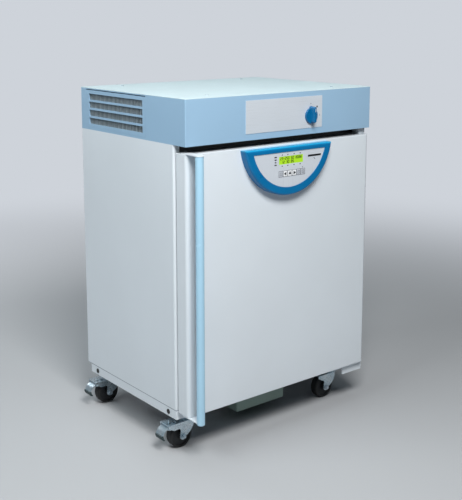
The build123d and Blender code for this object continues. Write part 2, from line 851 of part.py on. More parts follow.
with BuildPart() as control_boards:
    deck_z = body_top_z + sheet
    for board_x, board_y, board_w, board_d in ((-150.0, 40.0, 260.0, 180.0), (150.0, 60.0, 180.0, 160.0)):
        with Locations((board_x, board_y, deck_z + board_standoff + board_thickness / 2)):
            Box(board_w, board_d, board_thickness)
        with Locations((board_x, board_y, deck_z + board_standoff / 2)):
            with GridLocations(board_w - 16.0, board_d - 16.0, 2, 2):
                Cylinder(standoff_radius, board_standoff)
        with Locations((board_x, board_y, deck_z + board_standoff + board_thickness + 9.0)):
            with GridLocations(46.0, 44.0, 4, 3):
                Box(26.0, 18.0, 18.0)
    with Locations((-280.0, -180.0, deck_z + 34.0)):
        Box(84.0, 70.0, 68.0)
    with BuildSketch(Plane.XZ.offset(-switch_front_y)):
        with Locations((knob_x, knob_z)):
            RectangleRounded(switch_size, switch_size, 4.0)
    extrude(amount=-switch_depth)
    block(
        knob_x - switch_size / 2,
        knob_x + switch_size / 2,
        switch_front_y + switch_depth - 3.0,
        switch_front_y + switch_depth,
        deck_z,
        knob_z,
    )
    with BuildSketch(Plane.XZ.offset(-switch_front_y)):
        with Locations((knob_x, knob_z)):
            Circle(spindle_radius + running_clearance)
    extrude(amount=-16.0, mode=Mode.SUBTRACT)
save(control_boards.part, "control_boards")

# Mains inlet in the back of the housing
inlet_flange = 6.0
inlet_depth = 24.0

with BuildPart() as mains_inlet:
    with BuildSketch(Plane.XZ.offset(-back_y)):
        with Locations((inlet_x, inlet_z)):
            RectangleRounded(inlet_width + 2 * inlet_flange, inlet_height + 2 * inlet_flange, 4.0)
    extrude(amount=-2.5)
    with BuildSketch(Plane.XZ.offset(-back_y)):
        with Locations((inlet_x, inlet_z)):
            Rectangle(inlet_width - 2 * seat_clearance, inlet_height - 2 * seat_clearance)
    extrude(amount=inlet_depth)
    with BuildSketch(Plane.XZ.offset(-(back_y + 2.5))):
        with Locations((inlet_x, inlet_z)):
            Rectangle(inlet_width - 14.0, inlet_height - 9.0)
    extrude(amount=20.0, mode=Mode.SUBTRACT)
    with BuildSketch(Plane.XZ.offset(-(back_y - 17.5))):
        with Locations((inlet_x, inlet_z)):
            with GridLocations(11.0, 1.0, 3, 1):
                Rectangle(2.0, 6.0)
    extrude(amount=-14.0)
save(mains_inlet.part, "mains_inlet")

# Door hinges: a block over the door and a bracket under it, each with a pin
hinge_x = 362.0
hinge_y = front_y + 34.0
pin_radius = 5.0
pin_length = 24.0
hinge_gap = 0.8
hinge_block_x = 28.0
hinge_block_y = 34.0
bracket_left_x = 290.0
bracket_front_y = front_y + 14.0
bracket_thickness = 4.0
bracket_drop = 30.0
washer_radius = 9.0

with BuildPart() as hinge_upper:
    block(
        hinge_x - hinge_block_x / 2,
        hinge_x + hinge_block_x / 2,
        hinge_y - hinge_block_y / 2,
        hinge_y + hinge_block_y / 2,
        door_top_z + hinge_gap,
        body_top_z,
    )
    fillet(hinge_upper.edges().filter_by(Axis.Z), 3.0)
    with BuildSketch(Plane.XY.offset(door_top_z + hinge_gap)):
        with Locations((hinge_x, hinge_y)):
            Circle(pin_radius)
    extrude(amount=-(pin_length + hinge_gap))
save(hinge_upper.part, "hinge_upper")

bracket_top_z = door_base_z - hinge_gap - 1.2

with BuildPart() as hinge_lower:
    with BuildSketch(Plane.YZ.offset(bracket_left_x)):
        with Locations(((bracket_front_y + body_front_y) / 2, bracket_top_z - bracket_thickness / 2)):
            Rectangle(body_front_y - bracket_front_y, bracket_thickness)
        with Locations(
            (bracket_front_y + bracket_thickness / 2, bracket_top_z - bracket_drop / 2),
            (body_front_y - bracket_thickness / 2, bracket_top_z - bracket_drop / 2),
        ):
            Rectangle(bracket_thickness, bracket_drop)
    extrude(amount=side_x - bracket_left_x)
    with BuildSketch(Plane.XY.offset(bracket_top_z)):
        with Locations((hinge_x, hinge_y)):
            Circle(washer_radius)
    extrude(amount=1.2)
    with BuildSketch(Plane.XY.offset(bracket_top_z)):
        with Locations((hinge_x, hinge_y)):
            Circle(pin_radius)
    extrude(amount=pin_length + 2.0)
save(hinge_lower.part, "hinge_lower")

# Door shell: one pressed pan with round upright edges, open at the back
bush_radius = 9.0
bush_flange_radius = 12.0
cable_hole_radius = 14.0
panel_top_z = overall_height - 166.0
door_middle_z = (door_base_z + door_top_z) / 2

with BuildPart() as door_shell:
    with BuildSketch(Plane.XY.offset(door_base_z)) as pan:
        with Locations((0, front_y + door_depth / 2)):
            Rectangle(door_width, door_depth)
        fillet(pan.vertices().group_by(Axis.Y)[0], door_edge_radius)
    extrude(amount=door_height)
    fillet(door_shell.faces().sort_by(Axis.Z)[-1].edges().sort_by(Axis.Y)[:-1], 2.0)
    fillet(door_shell.faces().sort_by(Axis.Z)[0].edges().sort_by(Axis.Y)[:-1], 2.0)
    offset(amount=-sheet, openings=door_shell.faces().sort_by(Axis.Y)[-1])
    with BuildSketch(Plane.XY.offset(door_base_z)):
        with Locations((hinge_x, hinge_y)):
            Circle(bush_radius)
    extrude(amount=door_height, mode=Mode.SUBTRACT)
    with BuildSketch(Plane.XZ.offset(-front_y)):
        with Locations((0, panel_top_z - 60.0)):
            Circle(cable_hole_radius)
    extrude(amount=-sheet, mode=Mode.SUBTRACT)
save(door_shell.part, "door_shell")

# Hinge bushes pressed into the door's top and bottom
bush_length = 26.0

with BuildPart() as door_bushes:
    for z_low, z_high, flange_low in (
        (door_base_z, door_base_z + bush_length, door_base_z + sheet),
        (door_top_z - bush_length, door_top_z, door_top_z - sheet - 2.0),
    ):
        with BuildSketch(Plane.XY.offset(z_low)):
            with Locations((hinge_x, hinge_y)):
                Circle(bush_radius)
        extrude(amount=z_high - z_low)
        with BuildSketch(Plane.XY.offset(flange_low)):
            with Locations((hinge_x, hinge_y)):
                Circle(bush_flange_radius)
        extrude(amount=2.0)
        with BuildSketch(Plane.XY.offset(z_low)):
            with Locations((hinge_x, hinge_y)):
                Circle(pin_radius + running_clearance)
        extrude(amount=z_high - z_low, mode=Mode.SUBTRACT)
save(door_bushes.part, "door_bushes")

# Door liner: the inner pan with a raised plug that fills the opening
plug_margin = 10.0
plug_height = 18.0
plug_wall = 2.0

with BuildPart() as door_liner:
    with BuildSketch(Plane.XZ.offset(-door_back_y)):
        with Locations((0, door_middle_z)):
            RectangleRounded(door_width - 2 * sheet, door_height - 2 * sheet, 2.0)
    extrude(amount=sheet)
    with BuildSketch(Plane.XZ.offset(-door_back_y)):
        with Locations((0, chamber_middle_z)):
            RectangleRounded(
                chamber_width - 2 * plug_margin, chamber_height - 2 * plug_margin, 14.0
            )
    extrude(amount=-plug_height)
    fillet(door_liner.faces().sort_by(Axis.Y)[-1].edges(), 5.0)
    with BuildSketch(Plane.XZ.offset(-(door_back_y - sheet))):
        with Locations((0, chamber_middle_z)):
            RectangleRounded(
                chamber_width - 2 * (plug_margin + plug_wall),
                chamber_height - 2 * (plug_margin + plug_wall),
                12.0,
            )
    extrude(amount=-(plug_height + sheet - plug_wall), mode=Mode.SUBTRACT)
save(door_liner.part, "door_liner")

# Door insulation: a slab of mineral wool that fills the door and its plug
with BuildPart() as door_insulation:
    with BuildSketch(Plane.XZ.offset(-(door_back_y - sheet))):
        with Locations((0, door_middle_z)):
            Rectangle(door_width - 2 * door_edge_radius, door_height - 6 * sheet)
    extrude(amount=door_depth - 2 * sheet)
    with BuildSketch(Plane.XZ.offset(-(door_back_y - sheet))):
        with Locations((0, chamber_middle_z)):
            RectangleRounded(
                chamber_width - 2 * (plug_margin + plug_wall),
                chamber_height - 2 * (plug_margin + plug_wall),
                12.0,
            )
    extrude(amount=-(plug_height + sheet - plug_wall))
    for z_low in (door_base_z, door_top_z - bush_length):
        with BuildSketch(Plane.XY.offset(z_low)):
            with Locations((hinge_x, hinge_y)):
                Circle(bush_flange_radius)
        extrude(amount=bush_length, mode=Mode.SUBTRACT)
save(door_insulation.part, "door_insulation")

# Door gasket: a hollow-profile frame on the liner, facing the collar
gasket_width = 14.0
gasket_outer_x = chamber_width / 2 + 34.0
gasket_outer_z = chamber_height / 2 + 35.0

with BuildPart() as door_gasket:
    with BuildSketch(Plane.XZ.offset(-door_back_y)):
        with Locations((0, chamber_middle_z)):
            RectangleRounded(2 * gasket_outer_x, 2 * gasket_outer_z, 22.0)
            RectangleRounded(
                2 * (gasket_outer_x - gasket_width),
                2 * (gasket_outer_z - gasket_width),
                22.0 - gasket_width,
                mode=Mode.SUBTRACT,
            )
    extrude(amount=-(seal_gap + sheet - seat_clearance))
    fillet(door_gasket.faces().sort_by(Axis.Y)[-1].edges(), 3.0)
save(door_gasket.part, "door_gasket")

# Control panel: a D-shaped moulded bezel, flat side up
bezel_half_width = 178.0
bezel_drop = 152.6
bezel_depth = 28.0
bezel_rim = 26.0
bezel_rim_top = 15.0
bezel_soft_edge = 7.0
bezel_ledge = 4.0
face_recess = 2.0
face_thickness = 2.0
bezel_radius = (bezel_half_width**2 + bezel_drop**2) / (2 * bezel_drop)
bezel_centre_z = panel_top_z - bezel_drop + bezel_radius


def segment(radius, top_z):
    """The part of a disc below a level line, drawn in X and Z."""
    half = (radius**2 - (bezel_centre_z - top_z) ** 2) ** 0.5
    with BuildSketch() as outline:
        with BuildLine():
            Line((-half, top_z), (half, top_z))
            ThreePointArc((half, top_z), (0, bezel_centre_z - radius), (-half, top_z))
        make_face()
    return outline.sketch_local


face_front_y = front_y - bezel_depth + face_recess
face_radius = bezel_radius - bezel_rim
face_top_z = panel_top_z - bezel_rim_top
bezel_outline = segment(bezel_radius, panel_top_z)
bezel_recess = segment(face_radius, face_top_z)
bezel_hollow = segment(face_radius - bezel_ledge, face_top_z - bezel_ledge)
face_outline = segment(face_radius - seat_clearance, face_top_z - seat_clearance)

with BuildPart() as panel_bezel:
    with BuildSketch(Plane.XZ.offset(-front_y)):
        add(bezel_outline)
    extrude(amount=bezel_depth)
    fillet(panel_bezel.faces().sort_by(Axis.Y)[0].edges(), bezel_soft_edge)
    with BuildSketch(Plane.XZ.offset(-front_y + bezel_depth)):
        add(bezel_recess)
    extrude(amount=-(face_recess + face_thickness), mode=Mode.SUBTRACT)
    with BuildSketch(Plane.XZ.offset(-front_y)):
        add(bezel_hollow)
    extrude(amount=bezel_depth, mode=Mode.SUBTRACT)
save(panel_bezel.part, "panel_bezel")

# Face plate with the display, the card slot and six key holes
display_x = 4.0
display_z = overall_height - 206.8
display_width = 100.0
display_height = 24.5
card_x = 103.0
card_z = overall_height - 202.0
card_width = 54.0
card_height = 3.0
key_row_z = overall_height - 249.0
key_first_x = -38.0
key_pitch = 18.4
key_width = 15.4
key_height = 17.0
key_names = ["key_menu", "key_left", "key_up", "key_right", "key_enter", "key_start"]
key_places = [(key_first_x + n * key_pitch, key_row_z) for n in range(len(key_names))]

with BuildPart() as panel_face:
    with BuildSketch(Plane.XZ.offset(-face_front_y)):
        add(face_outline)
        with Locations((display_x, display_z)):
            Rectangle(display_width, display_height, mode=Mode.SUBTRACT)
        with Locations((card_x, card_z)):
            RectangleRounded(card_width, card_height, 1.2, mode=Mode.SUBTRACT)
        with Locations(*key_places):
            RectangleRounded(
                key_width + 2 * seat_clearance,
                key_height + 2 * seat_clearance,
                2.5,
                mode=Mode.SUBTRACT,
            )
    extrude(amount=-face_thickness)
save(panel_face.part, "panel_face")

with BuildPart() as display_window:
    with BuildSketch(Plane.XZ.offset(-(face_front_y + 0.5))):
        with Locations((display_x, display_z)):
            Rectangle(display_width, display_height)
    extrude(amount=-4.0)
    with BuildSketch(Plane.XZ.offset(-(face_front_y + face_thickness))):
        with Locations((display_x, display_z)):
            Rectangle(display_width + 8.0, display_height + 8.0)
    extrude(amount=-6.0)
save(display_window.part, "display_window")

# Keys: six moulded caps that stand a little proud of the face plate
key_proud = 1.0
key_body = 6.0

for name, place in zip(key_names, key_places):
    with BuildPart() as key_cap:
        with BuildSketch(Plane.XZ.offset(-(face_front_y + key_body))):
            with Locations(place):
                RectangleRounded(key_width, key_height, 2.2)
        extrude(amount=key_body + key_proud)
        fillet(key_cap.faces().sort_by(Axis.Y)[0].edges(), 0.6)
    save(key_cap.part, name)

# Handle: a full-height tube, held off the door by a plate at each end
handle_radius = 12.5
handle_x = -361.5
handle_y = front_y - 42.0
handle_base_z = 124.0
bracket_plate = 3.0
bracket_width = 27.0
bracket_reach = 28.0

with BuildPart() as handle_bar:
    bar_length = door_top_z - handle_base_z
    with Locations((handle_x, handle_y, handle_base_z + bar_length / 2)):
        Cylinder(handle_radius, bar_length)
    fillet(handle_bar.faces().sort_by(Axis.Z)[0].edges(), 5.0)
    with BuildSketch(Plane.XY.offset(door_base_z - bracket_plate)):
        with Locations((handle_x, handle_y + handle_radius)):
            Rectangle(bracket_width + 2.0, 2 * handle_radius - 6.0)
    extrude(amount=bracket_plate, mode=Mode.SUBTRACT)
save(handle_bar.part, "handle_bar")

with BuildPart() as handle_brackets:
    for plate_z, tip_y in (
        (door_top_z, handle_y),
        (door_base_z - bracket_plate, handle_y + 3.0),
    ):
        with BuildSketch(Plane.XY.offset(plate_z)) as plate:
            block_back_y = front_y + bracket_reach
            with Locations((handle_x, (tip_y + block_back_y) / 2)):
                Rectangle(bracket_width, block_back_y - tip_y)
            if tip_y == handle_y:
                with Locations((handle_x, handle_y)):
                    Circle(bracket_width / 2)
        extrude(amount=bracket_plate)
save(handle_brackets.part, "handle_brackets")

# Castors: swivel plates on the plinth, pressed forks, wheels and two brake rockers
wheel_radius = 40.0
wheel_width = 30.0
castor_trail = 34.0
castor_plate = 3.0
axle_radius = 4.0
kingpin_radius = 5.0
kingpin_nut_radius = 8.0
crown_top_z = 87.0
crown_thickness = 3.0
crown_half_width = 24.0
fork_sheet = 2.5
race_radius = 26.0
race_gap = 0.4
fork_side_base_z = 78.0
fork_nose = 8.0
brake_pin_x = -82.0
brake_pin_z = 75.5
brake_pin_radius = 3.0
brake_width = 36.0
brake_peg_x = -78.0
brake_peg_y = -8.0
brake_slot_length = 16.0
brake_slot_width = 8.0
spring_hole_x = -56.0
crown_base_z = crown_top_z - crown_thickness
plate_base_z = castor_height - castor_plate
race_split_z = (crown_top_z + plate_base_z) / 2 - 3.0
kingpin_base_z = crown_base_z - 7.5

with BuildPart() as castor_plates:
    for x, y in castor_places:
        with BuildSketch(Plane.XY.offset(plate_base_z)):
            with Locations((x, y)):
                RectangleRounded(castor_plate_x, castor_plate_y, 6.0)
                with GridLocations(castor_bolt_x, castor_bolt_y, 2, 2):
                    Circle(castor_bolt_hole, mode=Mode.SUBTRACT)
        extrude(amount=castor_plate)
        with BuildSketch(Plane.XY.offset(race_split_z)):
            with Locations((x, y)):
                Circle(race_radius)
        extrude(amount=plate_base_z - race_split_z)
        with BuildSketch(Plane.XY.offset(kingpin_base_z)):
            with Locations((x, y)):
                Circle(kingpin_radius)
        extrude(amount=race_split_z - kingpin_base_z)
        with BuildSketch(Plane.XY.offset(kingpin_base_z)):
            with Locations((x, y)):
                RegularPolygon(kingpin_nut_radius, 6)
        extrude(amount=crown_base_z - race_gap - kingpin_base_z)
save(castor_plates.part, "castor_plates")


def castor_fork(x, y, braked):
    """A pressed fork: round head over the kingpin, arms back over the wheel, two legs."""
    tail = -88.0 if braked else -70.0
    axle_x = -castor_trail
    leg_radius = 11.0
    foot_x = tail + 22.0
    foot_z = 69.0
    notch_x = axle_x - 9.0
    with BuildPart() as fork:
        with BuildSketch(Plane.XY.offset(crown_base_z)):
            with Locations((x, y)):
                Circle(crown_half_width)
            with Locations((x + tail / 2, y)):
                Rectangle(-tail, 2 * crown_half_width)
        extrude(amount=crown_thickness)
        with BuildSketch(Plane.XY.offset(crown_top_z)):
            with Locations((x, y)):
                Circle(race_radius - 4.0)
        extrude(amount=race_split_z - race_gap - crown_top_z)
        for side in (-1, 1):
            outer_y = y + side * crown_half_width
            with BuildSketch(Plane.XZ.offset(-outer_y)) as leg:
                with BuildLine():
                    Polyline(
                        (x + fork_nose, crown_base_z),
                        (x + tail, crown_base_z),
                        (x + tail, fork_side_base_z),
                        (x + foot_x - 6.0, foot_z),
                    )
                    ThreePointArc(
                        (x + foot_x - 6.0, foot_z),
                        (x + foot_x, foot_z - 2.0),
                        (x + foot_x + 6.0, foot_z - 1.5),
                    )
                    Line((x + foot_x + 6.0, foot_z - 1.5), (x + notch_x - 7.0, foot_z - 1.0))
                    ThreePointArc(
                        (x + notch_x - 7.0, foot_z - 1.0),
                        (x + notch_x - 1.5, foot_z - 4.0),
                        (x + notch_x, foot_z - 10.0),
                    )
                    Line((x + notch_x, foot_z - 10.0), (x + axle_x - leg_radius, wheel_radius))
                    Line(
                        (x + axle_x - leg_radius, wheel_radius),
                        (x + axle_x + leg_radius, wheel_radius),
                    )
                    ThreePointArc(
                        (x + axle_x + leg_radius, wheel_radius),
                        (x + fork_nose - 9.0, 57.0),
                        (x + fork_nose, crown_base_z),
                    )
                make_face()
                with Locations((x + axle_x, wheel_radius)):
                    Circle(leg_radius)
            extrude(amount=side * fork_sheet)
        with BuildSketch(Plane.XY.offset(kingpin_base_z)):
            with Locations((x, y)):
                Circle(kingpin_radius + running_clearance)
        extrude(amount=race_split_z - kingpin_base_z, mode=Mode.SUBTRACT)
        with Locations((x + axle_x, y, wheel_radius)):
            Cylinder(axle_radius, 2 * crown_half_width + 6.0, rotation=(90, 0, 0))
        for side in (-1, 1):
            with BuildSketch(Plane.XZ.offset(-(y + side * crown_half_width))):
                with Locations((x + axle_x, wheel_radius)):
                    RegularPolygon(7.0, 6)
            extrude(amount=-side * 5.0)
        if braked:
            with Locations((x + brake_pin_x, y, brake_pin_z)):
                Cylinder(brake_pin_radius, 2 * crown_half_width + 3.0, rotation=(90, 0, 0))
            with BuildSketch(Plane.XY.offset(crown_base_z)):
                with Locations((x + brake_peg_x + 2.0, y + brake_peg_y)):
                    SlotOverall(brake_slot_length, brake_slot_width)
                with Locations((x + spring_hole_x, y + brake_peg_y)):
                    SlotOverall(brake_slot_length, brake_slot_width, rotation=90)
            extrude(amount=crown_thickness, mode=Mode.SUBTRACT)
    return fork.part


def castor_wheel(x, y):
    """A rubber tread with soft shoulders on a dished plastic hub."""
    shoulder = 6.0
    hub_radius = 11.0
    dish = 5.0
    half = wheel_width / 2
    bore = axle_radius + running_clearance
    hub_half = crown_half_width - fork_sheet - 1.0
    tread_base = wheel_radius - 9.0
    profile_plane = Plane(
        origin=(x - castor_trail, y, wheel_radius), x_dir=(0, 1, 0), z_dir=(1, 0, 0)
    )
    with BuildPart() as wheel:
        with BuildSketch(profile_plane):
            with BuildLine():
                Line((-hub_half, bore), (hub_half, bore))
                Line((hub_half, bore), (hub_half, hub_radius))
                Line((hub_half, hub_radius), (half - dish, hub_radius + 2.0))
                Line((half - dish, hub_radius + 2.0), (half - dish, tread_base))
                Line((half - dish, tread_base), (half, tread_base + 2.0))
                Line((half, tread_base + 2.0), (half, wheel_radius - shoulder))
                ThreePointArc(
                    (half, wheel_radius - shoulder),
                    (half - 0.3 * shoulder, wheel_radius - 0.3 * shoulder),
                    (half - shoulder, wheel_radius),
                )
                Line((half - shoulder, wheel_radius), (-half + shoulder, wheel_radius))
                ThreePointArc(
                    (-half + shoulder, wheel_radius),
                    (-half + 0.3 * shoulder, wheel_radius - 0.3 * shoulder),
                    (-half, wheel_radius - shoulder),
                )
                Line((-half, wheel_radius - shoulder), (-half, tread_base + 2.0))
                Line((-half, tread_base + 2.0), (-half + dish, tread_base))
                Line((-half + dish, tread_base), (-half + dish, hub_radius + 2.0))
                Line((-half + dish, hub_radius + 2.0), (-hub_half, hub_radius))
                Line((-hub_half, hub_radius), (-hub_half, bore))
            make_face()
        revolve(axis=Axis((x - castor_trail, y, wheel_radius), (0, 1, 0)))
    return wheel.part


def brake_pedal(x, y):
    """A pressed rocker on the fork's pin, with a thick lock pad and a release peg."""
    hub = 5.5
    peg_radius = 2.0
    peg_top_z = 99.0
    pin_x = x + brake_pin_x
    with BuildPart() as pedal:
        with BuildSketch(Plane.XZ.offset(-(y - brake_width / 2))):
            with Locations((pin_x, brake_pin_z)):
                Circle(hub)
            with BuildLine():
                Line((pin_x - 1.0, brake_pin_z + 5.0), (pin_x - 10.0, brake_pin_z + 1.0))
                ThreePointArc(
                    (pin_x - 10.0, brake_pin_z + 1.0),
                    (pin_x - 20.0, brake_pin_z - 6.5),
                    (pin_x - 25.0, brake_pin_z - 18.0),
                )
                Line((pin_x - 25.0, brake_pin_z - 18.0), (pin_x - 28.0, brake_pin_z - 17.0))
                ThreePointArc(
                    (pin_x - 28.0, brake_pin_z - 17.0),
                    (pin_x - 27.0, brake_pin_z - 27.0),
                    (pin_x - 20.0, brake_pin_z - 35.0),
                )
                Line((pin_x - 20.0, brake_pin_z - 35.0), (pin_x - 15.5, brake_pin_z - 31.5))
                ThreePointArc(
                    (pin_x - 15.5, brake_pin_z - 31.5),
                    (pin_x - 20.5, brake_pin_z - 25.5),
                    (pin_x - 22.0, brake_pin_z - 18.0),
                )
                ThreePointArc(
                    (pin_x - 22.0, brake_pin_z - 18.0),
                    (pin_x - 17.5, brake_pin_z - 8.5),
                    (pin_x - 9.0, brake_pin_z - 2.5),
                )
                Line((pin_x - 9.0, brake_pin_z - 2.5), (pin_x - 1.0, brake_pin_z - 5.0))
                Line((pin_x - 1.0, brake_pin_z - 5.0), (pin_x - 1.0, brake_pin_z + 5.0))
            make_face()
        extrude(amount=-brake_width)
        with BuildSketch(Plane.XY.offset(brake_pin_z + brake_pin_radius + 1.0)):
            with Locations((x + brake_peg_x, y + brake_peg_y)):
                Circle(peg_radius)
        extrude(amount=peg_top_z - brake_pin_z - brake_pin_radius - 1.0)
        with BuildSketch(Plane.XZ.offset(-(y - brake_width / 2))):
            with Locations((pin_x, brake_pin_z)):
                Circle(brake_pin_radius + running_clearance)
        extrude(amount=-brake_width, mode=Mode.SUBTRACT)
    return pedal.part


castor_names = {
    "front_left": (-castor_x, castor_front_y, True),
    "front_right": (castor_x, castor_front_y, False),
    "back_left": (-castor_x, castor_back_y, True),
    "back_right": (castor_x, castor_back_y, False),
}
for corner, (x, y, braked) in castor_names.items():
    save(castor_fork(x, y, braked), "fork_" + corner)
    save(castor_wheel(x, y), "wheel_" + corner)
    if braked:
        save(brake_pedal(x, y), "brake_" + corner)
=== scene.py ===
import math

import bpy
from mathutils import Euler, Matrix, Vector


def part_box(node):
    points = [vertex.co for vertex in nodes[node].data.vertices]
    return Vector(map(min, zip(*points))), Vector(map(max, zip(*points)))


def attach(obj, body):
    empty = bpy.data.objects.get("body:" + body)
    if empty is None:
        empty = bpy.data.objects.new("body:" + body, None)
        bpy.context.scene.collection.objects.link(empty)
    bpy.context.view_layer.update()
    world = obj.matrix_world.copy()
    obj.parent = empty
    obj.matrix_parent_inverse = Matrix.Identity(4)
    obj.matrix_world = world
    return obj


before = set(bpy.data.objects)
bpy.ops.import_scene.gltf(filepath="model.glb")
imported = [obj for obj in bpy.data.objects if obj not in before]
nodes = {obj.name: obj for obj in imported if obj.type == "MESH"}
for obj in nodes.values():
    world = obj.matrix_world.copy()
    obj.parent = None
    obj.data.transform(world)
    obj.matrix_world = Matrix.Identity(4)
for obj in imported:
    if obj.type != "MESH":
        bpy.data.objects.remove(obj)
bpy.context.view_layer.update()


# The view of the photograph: a shifted lens a little above the lid's height,
# looking at the handle's corner of the cabinet.
def aim_camera():
    picture_side = 500.0
    focal_pixels = 929.1
    principal_row = 170.0
    eye = (-1.9146, -2.4227, 1.3323)
    yaw = math.radians(38.629)
    pitch = math.radians(9.559)
    camera_data = bpy.data.cameras.new("view")
    camera_data.sensor_width = 36.0
    camera_data.lens = focal_pixels / picture_side * camera_data.sensor_width
    camera_data.shift_y = (principal_row - picture_side / 2) / picture_side
    camera = bpy.data.objects.new("view", camera_data)
    camera.location = eye
    camera.rotation_euler = (math.pi / 2 - pitch, 0.0, -yaw)
    bpy.context.scene.collection.objects.link(camera)
    bpy.context.scene.camera = camera
    bpy.context.scene.view_settings.view_transform = "Standard"


aim_camera()


# The studio: a wide pale floor that fades into a pale surround, a soft key light
# in front of the door, a broad one overhead, and others at the left and behind.
def new_material(name):
    """An empty material: returns it with its node tree and its Principled shader."""
    material = bpy.data.materials.new(name)
    material.use_nodes = True
    tree = material.node_tree
    return material, tree, tree.nodes["Principled BSDF"]


def srgb(red, green, blue):
    """A colour named by its 0 to 255 values, as the linear colour that a shader takes."""

    def linear(value):
        value = value / 255
        return value / 12.92 if value <= 0.04045 else ((value + 0.055) / 1.055) ** 2.4

    return (linear(red), linear(green), linear(blue), 1.0)


def object_place(tree):
    """The object coordinates of the point that is shaded."""
    return tree.nodes.new("ShaderNodeTexCoord").outputs["Object"]


def feed(tree, target, value):
    """Links a socket to an input, or sets the input to a fixed value."""
    if hasattr(value, "is_output"):
        tree.links.new(value, target)
    else:
        target.default_value = value


def add_math(tree, operation, first, second=0.0):
    node = tree.nodes.new("ShaderNodeMath")
    node.operation = operation
    feed(tree, node.inputs[0], first)
    feed(tree, node.inputs[1], second)
    return node.outputs["Value"]


def deselect():
    bpy.ops.object.select_all(action="DESELECT")


backdrop_tone = srgb(206, 211, 218)


def build_floor_material():
    """A matt floor that fades, for the camera alone, into the backdrop's tone."""
    fade_start, fade_end = 0.7, 4.2
    material, tree, shader = new_material("studio_floor")
    shader.inputs["Base Color"].default_value = srgb(180, 182, 185)
    shader.inputs["Roughness"].default_value = 0.85
    shader.inputs["Specular IOR Level"].default_value = 0.2
    away = tree.nodes.new("ShaderNodeVectorMath")
    away.operation = "LENGTH"
    tree.links.new(object_place(tree), away.inputs[0])
    fade = tree.nodes.new("ShaderNodeMapRange")
    fade.interpolation_type = "SMOOTHERSTEP"
    fade.inputs["From Min"].default_value = fade_start
    fade.inputs["From Max"].default_value = fade_end
    tree.links.new(away.outputs["Value"], fade.inputs["Value"])
    camera_ray = tree.nodes.new("ShaderNodeLightPath").outputs["Is Camera Ray"]
    far = add_math(tree, "MULTIPLY", fade.outputs["Result"], camera_ray)
    haze = tree.nodes.new("ShaderNodeEmission")
    haze.inputs["Color"].default_value = backdrop_tone
    blend = tree.nodes.new("ShaderNodeMixShader")
    tree.links.new(far, blend.inputs["Fac"])
    tree.links.new(shader.outputs["BSDF"], blend.inputs[1])
    tree.links.new(haze.outputs["Emission"], blend.inputs[2])
    tree.links.new(blend.outputs["Shader"], tree.nodes["Material Output"].inputs["Surface"])
    return material


def lay_floor():
    floor_radius = 14.0
    deselect()
    bpy.ops.mesh.primitive_circle_add(vertices=96, radius=floor_radius, fill_type="NGON")
    floor = bpy.context.object
    floor.name = "studio_floor"
    floor.data.materials.append(build_floor_material())


def hang_surround():
    """A world that lights faintly; the camera sees the backdrop's tone in its place."""
    light_strength = 0.035
    mirrored_share = 0.4
    surround = bpy.data.worlds.new("surround")
    surround.use_nodes = True
    bpy.context.scene.world = surround
    tree = surround.node_tree
    background = tree.nodes["Background"]
    background.inputs["Color"].default_value = srgb(206, 224, 242)
    background.inputs["Strength"].default_value = light_strength
    seen = tree.nodes.new("ShaderNodeBackground")
    seen.inputs["Color"].default_value = backdrop_tone
    seen.inputs["Strength"].default_value = 1.0
    path = tree.nodes.new("ShaderNodeLightPath")
    mirrored = add_math(tree, "MULTIPLY", path.outputs["Is Glossy Ray"], mirrored_share)
    share = add_math(tree, "MAXIMUM", mirrored, path.outputs["Is Camera Ray"])
    choose = tree.nodes.new("ShaderNodeMixShader")
    tree.links.new(share, choose.inputs["Fac"])
    tree.links.new(background.outputs["Background"], choose.inputs[1])
    tree.links.new(seen.outputs["Background"], choose.inputs[2])
    tree.links.new(choose.outputs["Shader"], tree.nodes["World Output"].inputs["Surface"])


def hang_light(name, place, size, power, colour):
    """A soft rectangular light that looks at the middle of the cabinet."""
    cabinet_middle = Vector((0.0, 0.0, 0.6))
    lamp = bpy.data.lights.new(name, "AREA")
    lamp.shape = "RECTANGLE"
    lamp.size, lamp.size_y = size
    lamp.energy = power
    lamp.color = colour
    light = bpy.data.objects.new(name, lamp)
    light.location = place
    light.rotation_euler = (cabinet_middle - Vector(place)).to_track_quat("-Z", "Y").to_euler()
    bpy.context.scene.collection.objects.link(light)


lay_floor()
hang_surround()
hang_light("key", (-0.95, -1.95, 2.75), (1.2, 0.9), 90.0, (1.0, 0.995, 0.98))
hang_light("left", (-2.4, 0.1, 2.9), (2.0, 1.2), 45.0, (0.93, 0.99, 1.0))
hang_light("overhead", (0.1, 0.4, 3.4), (2.4, 2.2), 18.0, (0.82, 0.96, 1.0))
hang_light("behind", (-0.3, 3.0, 1.3), (1.6, 0.9), 24.0, (0.96, 0.98, 1.0))


# Powder coat on sheet steel: the side panels, plinth, collar and door are all
# pressed or folded sheet, coated white with a fine orange peel.
def new_group(name, inputs):
    """A shader group: returns it, the values given to it and the object coordinates."""
    group = bpy.data.node_groups.new(name, "ShaderNodeTree")
    outputs = (("Colour", "Color"), ("Roughness", "Float"), ("Height", "Float"))
    for way, sockets in (("INPUT", inputs), ("OUTPUT", outputs)):
        for label, kind in sockets:
            group.interface.new_socket(name=label, in_out=way, socket_type="NodeSocket" + kind)
    group.nodes.new("NodeGroupOutput")
    return group, group.nodes.new("NodeGroupInput").outputs, object_place(group)


def close_group(group, **results):
    """Links a group's results to its outputs."""
    for label, result in results.items():
        group.links.new(result, group.nodes["Group Output"].inputs[label])
    return group


def add_noise(tree, coordinates, scale, detail=2.0):
    noise = tree.nodes.new("ShaderNodeTexNoise")
    noise.inputs["Detail"].default_value = detail
    tree.links.new(coordinates, noise.inputs["Vector"])
    feed(tree, noise.inputs["Scale"], scale)
    return noise.outputs["Fac"]


